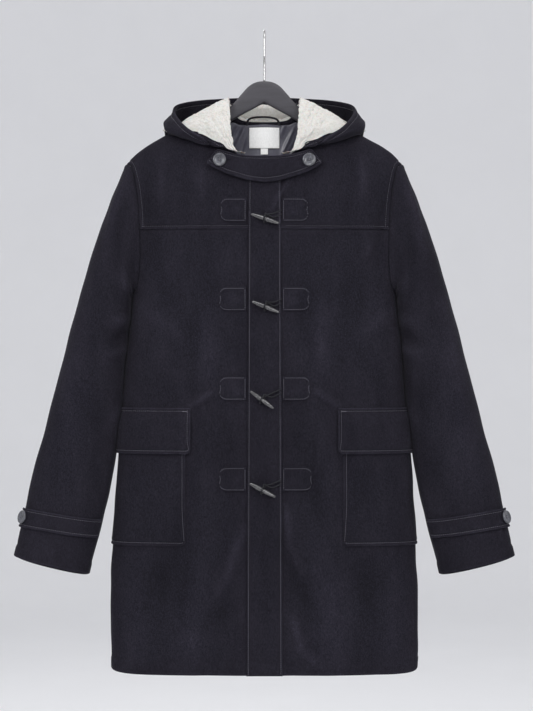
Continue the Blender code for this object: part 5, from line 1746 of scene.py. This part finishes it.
# ---------------------------------------------------------------- inside the neck
def make_neck_inside():
    strength = bpy.context.scene.coat_wool.fold_strength

    def lining_surface(u, v):
        x = lerp(-LINING_HALF_X, LINING_HALF_X, u)
        top = lookup(LINING_COLUMNS, LINING_ROWS, "arc", np.abs(x)) + LINING_TOP_GAP
        return shoulder_surface(x, lerp(LINING_BOTTOM_ARC, top, v))

    lining = Face(lining_surface, even(110), even(96), BODY_CORE)
    x, z = lining.base[..., 0], lining.base[..., 2]
    folds = soft_lines(x, z, SATIN_FOLDS, SATIN_FOLD_GAIN * strength)
    height = -LINING_DEPTH - folds - unevenness(x * 2, z * 2, 0.0004)
    make_cloth("neck_lining", lining, height, SATIN_WALL, "satin")
    label_face = -LINING_DEPTH - SATIN_WALL - LABEL_GAP - 0.0008
    thread = Thread()
    for name, half_x, top_z, bottom_z in (
        ("label", LABEL_HALF_X, LABEL_TOP_Z, LABEL_BOTTOM_Z),
        ("size_tab", SIZE_TAB_HALF_X, LABEL_BOTTOM_Z - SEAM, SIZE_TAB_BOTTOM_Z),
    ):
        def surface(u, v, half_x=half_x, top_z=top_z, bottom_z=bottom_z):
            return coat_point(lerp(-half_x, half_x, u), lerp(bottom_z, top_z, v), BACK)

        face = Face(surface, even(40), even(30), BODY_CORE)
        x, z = face.base[..., 0], face.base[..., 2]
        bow = 0.0006 * np.sin(math.pi * face.u) + unevenness(x * 3, z * 2, 0.0001)
        make_cloth(name, face, label_face - bow, TAPE_WALL, "tape")
        if name == "label":
            face.lift(label_face - bow - TAPE_WALL)
            face.lifted_normal = -face.lifted_normal
            for edge in ("left", "right"):
                thread.inside(face, edge, LABEL_STITCH, 0.001, 0.001)
    thread.make("label_stitches", "tape")
    route = smooth_path([(x, HANG_LOOP_Y, z) for x, z in HANG_LOOP_ROUTE], 14)
    loop = tube("hang_loop_cord", route, HANG_LOOP_RADIUS, 20, FINISH["cord"],
                strands=6, lay=900.0, depth=0.14)
    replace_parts(loop, "hang_loop")


# ---------------------------------------------------------------- toggles, patches and pockets
def make_patches():
    thread = Thread()
    for row, _x, _z, _tilt, middle_z, out_left, out_right in TOGGLE_ROWS:
        for hand, reach in ((LEFT, out_left), (RIGHT, out_right)):
            def surface(u, v, hand=hand, reach=reach, middle_z=middle_z):
                across = lerp(PATCH_INNER_X, reach, u)
                half = PATCH_HEIGHT / 2 - corner_inset(reach - across, PATCH_CORNER)
                return coat_point(across * hand, middle_z + half * (2 * v - 1), FRONT)

            columns = graded(reach - PATCH_INNER_X, PATCH_STEP)
            face = Face(surface, columns, graded(PATCH_HEIGHT, PATCH_STEP), BODY_CORE)
            height = coat_relief(face.base) + SEAM + OVERLAY
            height = height + stitched_edge(face.nearest_edge(), PATCH_STITCH, 0.0002, 0.0005)
            bump = np.exp(-((face.u - 0.42) / 0.22) ** 2 - ((face.v - 0.45) / 0.22) ** 2)
            height = height + PATCH_BUMP * bump
            # Painted light and shade: fold highlights and hollows, a highlight along the edges and on
            # the cord end's bump.
            lay = painted_fold_shade(face.base) + 0.7 * painted_edge_highlight(face.nearest_edge()) + 0.25 * bump
            make_cloth(f"patch_{SIDE_NAMES[hand]}_{row}", face, height,
                       lay=lay)
            for edge in ("left", "right", "top", "bottom"):
                thread.inside(face, edge, PATCH_STITCH, 0.0022, 0.0022)
    thread.make("patch_stitches")


def toggle_frame(row):
    _row, x, z, tilt, *_patches = row
    seat = coat_point(np.array(x), np.array(z), FRONT)
    turn = math.radians(tilt)
    along = np.array((math.cos(turn), 0.0, -math.sin(turn)))
    outward = np.array((0.0, -1.0, 0.0))
    return seat + outward * TOGGLE_LIFT, along, np.cross(outward, along), outward


# Half outline of a toggle: place along it (-1 to 1) and radius as a share of the largest.
SPINDLE_PROFILE = (
    (-1.000, 0.30), (-0.990, 0.44), (-0.955, 0.53), (-0.80, 0.68), (-0.50, 0.87), (-0.22, 0.99),
    (-0.13, 0.99), (-0.085, 0.84), (0.085, 0.84), (0.13, 0.99), (0.22, 0.99), (0.50, 0.87),
    (0.80, 0.68), (0.955, 0.53), (0.990, 0.44), (1.000, 0.30),
)
SPINDLE_SIDES = 40
CARVE_DEPTH = 0.035           # uneven hand carving, as a share of the radius


def make_toggles():
    """Turned and slightly hand-carved toggles, each waisted where its loop goes round."""
    for row in TOGGLE_ROWS:
        centre, along, cross, outward = toggle_frame(row)
        places, widths = np.array(SPINDLE_PROFILE).T
        at = np.unique(np.concatenate((np.linspace(-1, 1, 61), places)))
        wide = np.interp(at, places, widths) * TOGGLE_RADIUS
        turn = np.linspace(0, 2 * math.pi, SPINDLE_SIDES, endpoint=False)
        round_it, down_it = np.sin(3 * turn + 2.0 * row[0]), np.cos(4 * at + row[0])
        carved = 1 + CARVE_DEPTH * round_it[None, :] * down_it[:, None]
        radius = wide[:, None] * np.minimum(carved, 1.02)
        points = (
            centre + along * (at * TOGGLE_LENGTH / 2)[:, None, None]
            + cross * (np.cos(turn)[None, :] * radius)[..., None]
            + outward * (np.sin(turn)[None, :] * radius)[..., None]
        )
        faces = ring_faces(len(at), SPINDLE_SIDES)
        piece = add_piece(f"toggle_{row[0]}_horn", points, faces, FINISH["toggle_horn"])
        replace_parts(piece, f"toggle_{row[0]}")
        make_loop(row, centre, along, cross, outward)


def make_loop(row, centre, along, cross, outward):
    """A loop of cord from the right patch, under the toggle, over its waist and back."""
    low = cross * (1.0 if cross[2] < 0 else -1.0)
    under = TOGGLE_LIFT - SEAM * 2 - WALL - LOOP_CORD_RADIUS - 0.0001
    over = TOGGLE_RADIUS * SPINDLE_WAIST + LOOP_CORD_RADIUS + LOOP_SLACK
    beside = over + LOOP_SLACK
    pair = LOOP_CORD_RADIUS + LOOP_SLACK
    patch_z = row[4] - LOOP_DROP
    gap = LOOP_HALF_SPREAD

    def on_placket(x, z):
        return coat_point(np.array(x), np.array(z), FRONT) + outward * (TOGGLE_LIFT - under)

    middle_x, middle_z = lerp(LOOP_START_X, centre[0], 0.5), lerp(patch_z, centre[2], 0.5)
    route = [
        on_placket(LOOP_START_X, patch_z + gap),
        on_placket(middle_x, middle_z + gap),
        centre - low * 0.0085 - outward * under + along * pair,
        centre - outward * (under - 0.0002) + along * pair,
        centre + low * (beside + 0.0012) - outward * (under * 0.55) + along * pair,
        centre + low * beside + outward * 0.0005,
        centre + low * (over * 0.72) + outward * (over * 0.78) - along * pair * 0.4,
        centre + outward * over - along * pair,
        centre - low * (over * 0.74) + outward * (over * 0.74) - along * pair,
        centre - low * (beside + 0.0006) - outward * (under * 0.35) - along * pair,
        centre - low * 0.0095 - outward * under - along * pair,
        on_placket(middle_x, middle_z - gap),
        on_placket(LOOP_START_X, patch_z - gap),
    ]
    route = smooth_path(route, 10)
    piece = tube(f"toggle_loop_{row[0]}_cord", route, LOOP_CORD_RADIUS, 14, FINISH["cord"],
                 strands=4, lay=1500.0, depth=0.16)
    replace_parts(piece, f"toggle_loop_{row[0]}")


def make_pockets():
    thread = Thread()
    for hand, name in SIDE_NAMES.items():

        def pocket(inner_x, top_z, bottom_z, hand=hand):
            def surface(u, v):
                level = lerp(bottom_z, top_z, v)
                turn = lerp(turn_of(inner_x, level), math.pi / 2, u)
                x = np.abs(section_point(turn, level, FRONT)[..., 0])
                level = level + corner_inset(x - inner_x, POCKET_CORNER) * np.maximum(1 - v * 3, 0.0)
                return mirrored(section_point(turn_of(x, level), level, FRONT), hand)
            return surface

        bag = Face(pocket(POCKET_INNER_X, POCKET_TOP_Z, POCKET_BOTTOM_Z), *grid("pocket"), BODY_CORE)
        full = POCKET_FULLNESS * np.sin(math.pi * np.clip(bag.u, 0, 1)) * np.sin(math.pi * bag.v) ** 0.7
        edge = np.minimum(bag.bottom, bag.left)
        height = coat_relief(bag.base) + SEAM + OVERLAY + full
        height = height + stitched_edge(edge, EDGE_STITCH, 0.0008)
        # Painted light and shade: fold highlights and hollows, and a highlight along the stitched edges.
        lay = painted_fold_shade(bag.base) + 0.7 * painted_edge_highlight(edge)
        make_cloth(f"pocket_{name}", bag, height, lay=lay)
        flap = Face(pocket(FLAP_INNER_X, FLAP_TOP_Z, FLAP_BOTTOM_Z), *grid("flap"), BODY_CORE)
        z = flap.base[..., 2]
        over_bag = smooth((POCKET_TOP_Z + 0.010 - z) / 0.02)
        loose = FLAP_LOOSENESS * smooth((POCKET_TOP_Z + 0.01 - z) / 0.05)
        edge = np.minimum(np.minimum(flap.bottom, flap.left), flap.top)
        height = coat_relief(flap.base) + SEAM + OVERLAY + over_bag * (OVERLAY + 0.0006) + loose
        height = height + stitched_edge(edge, EDGE_STITCH, 0.0008)
        # Painted light and shade: fold highlights and hollows, and a highlight along the flap's stitched
        # edges.
        lay = painted_fold_shade(flap.base) + painted_edge_highlight(edge)
        make_cloth(f"flap_{name}", flap, height, lay=lay)
        for face, edges in ((bag, ("bottom", "left")), (flap, ("bottom", "left", "top"))):
            for edge_name in edges:
                thread.inside(face, edge_name, EDGE_STITCH, EDGE_STITCH, 0.003)
        make_bar_tack(flap, thread)
    thread.make("pocket_stitches")


def make_bar_tack(flap, thread):
    """A short, closely sewn bar at the flap's inner top corner."""
    column = int(np.argmin(np.abs(flap.left[-8] - EDGE_STITCH)))
    start, normal = flap.lifted[-8, column], flap.lifted_normal[-8, column]
    across = unit(flap.lifted[-8, column + 4] - start)
    line = np.stack([start + across * reach for reach in (0.0, 0.009)])
    thread.row(line, np.stack((normal, normal)), pitch=0.0011, length=0.0010, half=0.0009)


# ---------------------------------------------------------------- hanger
HANGER_SQUARE = 0.42          # below one: a section squarer than an ellipse
HANGER_SIDES = 44


def make_hanger():
    """The shaped hanger: flat faces with softly rounded edges, from one arm's end to the other."""
    reach = HANGER_ROWS[-1][0]
    half = np.concatenate((
        np.linspace(0, 0.07, 36), np.linspace(0.074, 0.205, 34), np.linspace(0.207, reach, 10),
    ))
    stations = np.concatenate((-half[:0:-1], half))
    turn = np.linspace(0, 2 * math.pi, HANGER_SIDES, endpoint=False)
    top, bottom, thick = (lookup(HANGER_COLUMNS, HANGER_ROWS, name, np.abs(stations))
                          for name in ("top", "bottom", "half_thick"))
    middle, tall = (top + bottom) / 2, (top - bottom) / 2
    y = thick[:, None] * signed_power(np.sin(turn), HANGER_SQUARE)[None, :]
    z = middle[:, None] + tall[:, None] * signed_power(np.cos(turn), HANGER_SQUARE)[None, :]
    x = np.broadcast_to(stations[:, None], y.shape)
    piece = add_piece("hanger_wood_body", place_at(x, y, z), ring_faces(len(stations), HANGER_SIDES),
                      FINISH["hanger_wood"])
    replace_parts(piece, "hanger_body")

    centre = -HOOK_INNER_RADIUS
    radius = HOOK_INNER_RADIUS + HOOK_WIRE_RADIUS
    stem = smooth_path(HOOK_STEM_ROUTE, 12)[:-1]
    turn = np.linspace(0.0, math.pi, 48)
    crown = place_at(0.0, radius * np.cos(turn), centre + radius * np.sin(turn))
    tip = np.array([(0.0, -radius, centre - drop) for drop in np.linspace(0.004, HOOK_TIP_DROP, 9)])
    hook = tube("hanger_hook_wire", np.concatenate((stem, crown, tip)), HOOK_WIRE_RADIUS, 24,
                FINISH["hook_wire"])
    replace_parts(hook, "hanger_hook")


# ---------------------------------------------------------------- studio
STUDIO_FLOOR_Z = -1.90
STUDIO_RADIUS = 9.0
STUDIO_SWEEP = 3.0
STUDIO_TOP_Z = 7.0
STUDIO_SIDES = 96
CAMERA_DISTANCE = 3.0
CAMERA_Z = -0.5546
FRONT_PLANE = 0.025
VIEW_WIDTH = 0.9061           # metres across the view, at the coat's front
SHIFT_SHARE = 0.0041
SENSOR_WIDTH = 36.0
# Soft lights: name, place, size and share of the power that is set.
LIGHTS = (
    ("key_left", (-1.8, -3.0, 1.1), 1.3, 1.1),
    ("key_right", (1.7, -3.2, 0.9), 1.4, 0.8),
    ("overhead", (0.3, -1.4, 2.3), 1.6, 0.7),
    ("behind", (-0.8, 3.6, 1.6), 2.0, 0.6),
)


def make_studio():
    """A round pale floor that sweeps up into far walls, soft lights and the camera."""
    settings = bpy.context.scene.coat_studio
    profile = [(0.001, STUDIO_FLOOR_Z), (STUDIO_RADIUS - STUDIO_SWEEP, STUDIO_FLOOR_Z)]
    for share in np.linspace(0.1, 1.0, 12):
        turn = share * math.pi / 2
        profile.append((STUDIO_RADIUS - STUDIO_SWEEP + STUDIO_SWEEP * math.sin(turn),
                        STUDIO_FLOOR_Z + STUDIO_SWEEP * (1 - math.cos(turn))))
    profile.append((STUDIO_RADIUS, STUDIO_TOP_Z))
    turn = np.linspace(0, 2 * math.pi, STUDIO_SIDES, endpoint=False)
    points = [(out * math.cos(t), out * math.sin(t), z) for out, z in profile for t in turn]
    mesh = bpy.data.meshes.new("studio_floor")
    mesh.from_pydata(points, [], ring_faces(len(profile), STUDIO_SIDES, capped=False))
    mesh.shade_smooth()
    tree, shader = start_finish("studio_paper", tuple(settings.paper_colour), 0.95)
    paper = grain(tree, 3.0, 2.0)
    tint = tints(tree, paper, tuple(settings.paper_colour), (0.3, 0.985), (0.7, 1.0))
    tree.links.new(tint, shader.inputs["Base Color"])
    mesh.materials.append(FINISH["studio_paper"])
    floor = bpy.data.objects.new("studio_floor", mesh)
    bpy.context.scene.collection.objects.link(floor)
    floor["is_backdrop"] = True

    world = bpy.data.worlds.new("studio_air")
    world.use_nodes = True
    background = world.node_tree.nodes["Background"]
    background.inputs["Color"].default_value = (0.97, 0.98, 1.0, 1.0)
    background.inputs["Strength"].default_value = settings.fill
    bpy.context.scene.world = world

    aim = Vector((0.0, 0.0, -0.50))
    for name, place, size, power in LIGHTS:
        data = bpy.data.lights.new(name, "AREA")
        data.shape = "SQUARE"
        data.size = size
        data.energy = settings.light_power * power
        lamp = bpy.data.objects.new(name, data)
        lamp.location = place
        lamp.rotation_euler = (aim - Vector(place)).to_track_quat("-Z", "Y").to_euler()
        bpy.context.scene.collection.objects.link(lamp)

    data = bpy.data.cameras.new("coat_camera")
    data.sensor_width = SENSOR_WIDTH
    data.sensor_fit = "HORIZONTAL"
    data.lens = SENSOR_WIDTH * (CAMERA_DISTANCE - FRONT_PLANE) / VIEW_WIDTH
    data.shift_x = SHIFT_SHARE
    data.clip_end = 60.0
    camera = bpy.data.objects.new("coat_camera", data)
    camera.location = (0.0, -CAMERA_DISTANCE, CAMERA_Z)
    camera.rotation_euler = (math.pi / 2, 0.0, 0.0)
    bpy.context.scene.collection.objects.link(camera)
    bpy.context.scene.camera = camera
    bpy.context.scene.view_settings.view_transform = "Standard"


# ---------------------------------------------------------------- settings a user would change
def colour_setting(name, description, default):
    return FloatVectorProperty(
        name=name, description=description, default=default, subtype="COLOR", size=3, min=0.0, max=1.0)


class CoatWoolSettings(bpy.types.PropertyGroup):
    """The coat's wool and its folds."""

    colour: colour_setting("Wool colour", "Colour of the wool's nap", (0.0250, 0.0230, 0.0325))
    fold_strength: FloatProperty(
        name="Fold strength", description="How strongly the folds stand out, 1 as it hangs",
        subtype="FACTOR", min=0.0, max=2.0, default=1.0,
    )


class CoatHoodSettings(bpy.types.PropertyGroup):
    """The hood's pile."""

    colour: colour_setting("Pile colour", "Colour of the hood's pile", (0.56, 0.55, 0.525))
    curl_size: FloatProperty(
        name="Curl size", description="Width of one curl of pile", subtype="DISTANCE", unit="LENGTH",
        min=0.002, max=0.012, default=0.0046,
    )
    curl_height: FloatProperty(
        name="Curl height", description="How far the curls stand out", subtype="DISTANCE", unit="LENGTH",
        min=0.0005, max=0.006, default=0.0030,
    )


class CoatTrimSettings(bpy.types.PropertyGroup):
    """Colours of the coat's small parts."""

    satin_colour: colour_setting("Satin colour", "Colour of the neck lining", (0.075, 0.073, 0.098))
    tape_colour: colour_setting("Label colour", "Colour of the bare woven label", (0.94, 0.94, 0.93))
    toggle_colour: colour_setting("Toggle colour", "Colour of the toggles' horn", (0.036, 0.035, 0.037))
    button_colour: colour_setting("Button colour", "Colour of the buttons' horn", (0.055, 0.057, 0.068))
    cord_colour: colour_setting("Cord colour", "Colour of the loops' cord", (0.012, 0.012, 0.015))
    thread_colour: colour_setting("Thread colour", "Colour of the sewing thread", (0.120, 0.116, 0.138))


class CoatHangerSettings(bpy.types.PropertyGroup):
    """The hanger's finish."""

    wood_colour: colour_setting("Wood colour", "Colour of the hanger's stain", (0.040, 0.038, 0.045))
    wire_colour: colour_setting("Wire colour", "Colour of the hook's metal", (0.46, 0.46, 0.46))


class CoatStudioSettings(bpy.types.PropertyGroup):
    """The studio round the coat."""

    paper_colour: colour_setting("Floor colour", "Colour of the studio's floor", (0.90, 0.90, 0.915))
    fill: FloatProperty(
        name="Fill light", description="Strength of the light from all round",
        min=0.0, max=4.0, default=0.72,
    )
    light_power: FloatProperty(
        name="Light power", description="Power of each soft light", unit="POWER",
        min=0.0, max=1000.0, default=50.0,
    )


# ---------------------------------------------------------------- operators and panel
class CoatBodyOperator(bpy.types.Operator):
    """Make the fronts, yokes, back and placket with their folds and stitching."""

    bl_idname = "coat.make_body"
    bl_label = "Make body"

    def execute(self, context):
        make_body()
        return {"FINISHED"}


class CoatSleevesOperator(bpy.types.Operator):
    """Make both sleeves with their cuff linings and cuff tabs."""

    bl_idname = "coat.make_sleeves"
    bl_label = "Make sleeves"

    def execute(self, context):
        make_sleeves()
        return {"FINISHED"}


class CoatHoodOperator(bpy.types.Operator):
    """Make the hood's wool, its facing and its pile."""

    bl_idname = "coat.make_hood"
    bl_label = "Make hood"

    def execute(self, context):
        make_hood()
        return {"FINISHED"}


class CoatThroatTabOperator(bpy.types.Operator):
    """Make the throat tab."""

    bl_idname = "coat.make_throat_tab"
    bl_label = "Make throat tab"

    def execute(self, context):
        make_throat_tab()
        return {"FINISHED"}


class CoatNeckOperator(bpy.types.Operator):
    """Make the neck lining, the bare label and size tab, and the hang loop."""

    bl_idname = "coat.make_neck_inside"
    bl_label = "Make inside of neck"

    def execute(self, context):
        make_neck_inside()
        return {"FINISHED"}


class CoatPatchesOperator(bpy.types.Operator):
    """Make the patches that the toggles are sewn under."""

    bl_idname = "coat.make_patches"
    bl_label = "Make patches"

    def execute(self, context):
        make_patches()
        return {"FINISHED"}


class CoatTogglesOperator(bpy.types.Operator):
    """Make the horn toggles and their cord loops."""

    bl_idname = "coat.make_toggles"
    bl_label = "Make toggles"

    def execute(self, context):
        make_toggles()
        return {"FINISHED"}


class CoatPocketsOperator(bpy.types.Operator):
    """Make the pocket bags and their flaps."""

    bl_idname = "coat.make_pockets"
    bl_label = "Make pockets"

    def execute(self, context):
        make_pockets()
        return {"FINISHED"}


class CoatButtonsOperator(bpy.types.Operator):
    """Make the throat and cuff buttons."""

    bl_idname = "coat.make_buttons"
    bl_label = "Make buttons"

    def execute(self, context):
        make_buttons()
        return {"FINISHED"}


class CoatHangerOperator(bpy.types.Operator):
    """Make the hanger and its hook."""

    bl_idname = "coat.make_hanger"
    bl_label = "Make hanger"

    def execute(self, context):
        make_hanger()
        return {"FINISHED"}


class CoatFinishesOperator(bpy.types.Operator):
    """Mix the coat's materials."""

    bl_idname = "coat.mix_finishes"
    bl_label = "Mix finishes"

    def execute(self, context):
        make_finishes(context.scene)
        return {"FINISHED"}


class CoatStageOperator(bpy.types.Operator):
    """Set out the studio, its lights and the camera."""

    bl_idname = "coat.make_stage"
    bl_label = "Make stage"

    def execute(self, context):
        make_studio()
        return {"FINISHED"}


class CoatPanel(bpy.types.Panel):
    """The coat's settings and the buttons that make each piece."""

    bl_idname = "VIEW3D_PT_coat"
    bl_label = "Duffle coat"
    bl_space_type = "VIEW_3D"
    bl_region_type = "UI"
    bl_category = "Coat"

    def draw(self, context):
        for settings in SETTINGS:
            group = getattr(context.scene, settings)
            box = self.layout.box()
            for field in group.bl_rna.properties:
                if not field.is_readonly and field.identifier != "name":
                    box.prop(group, field.identifier)
        for made in OPERATORS:
            self.layout.operator(made.bl_idname)


SETTINGS = {
    "coat_wool": CoatWoolSettings,
    "coat_hood": CoatHoodSettings,
    "coat_trims": CoatTrimSettings,
    "coat_hanger": CoatHangerSettings,
    "coat_studio": CoatStudioSettings,
}
OPERATORS = (
    CoatFinishesOperator, CoatBodyOperator, CoatSleevesOperator, CoatHoodOperator, CoatThroatTabOperator,
    CoatNeckOperator, CoatPatchesOperator, CoatTogglesOperator, CoatPocketsOperator, CoatButtonsOperator,
    CoatHangerOperator, CoatStageOperator,
)


def register():
    for name, settings in SETTINGS.items():
        bpy.utils.register_class(settings)
        setattr(bpy.types.Scene, name, PointerProperty(type=settings))
    for made in (*OPERATORS, CoatPanel):
        bpy.utils.register_class(made)


def unregister():
    for made in (CoatPanel, *reversed(OPERATORS)):
        bpy.utils.unregister_class(made)
    for name, settings in SETTINGS.items():
        delattr(bpy.types.Scene, name)
        bpy.utils.unregister_class(settings)


def corners():
    return [[float(value) for value in corner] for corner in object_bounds()]


def main():
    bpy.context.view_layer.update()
    register()
    bpy.ops.coat.mix_finishes()
    bpy.ops.coat.make_body()
    bpy.ops.coat.make_sleeves()
    bpy.ops.coat.make_hood()
    bpy.ops.coat.make_throat_tab()
    bpy.ops.coat.make_neck_inside()
    bpy.ops.coat.make_patches()
    bpy.ops.coat.make_toggles()
    bpy.ops.coat.make_pockets()
    bpy.ops.coat.make_buttons()
    bpy.ops.coat.make_hanger()
    bpy.ops.coat.make_stage()
    bpy.context.view_layer.update()


if __name__ == "__main__":
    main()
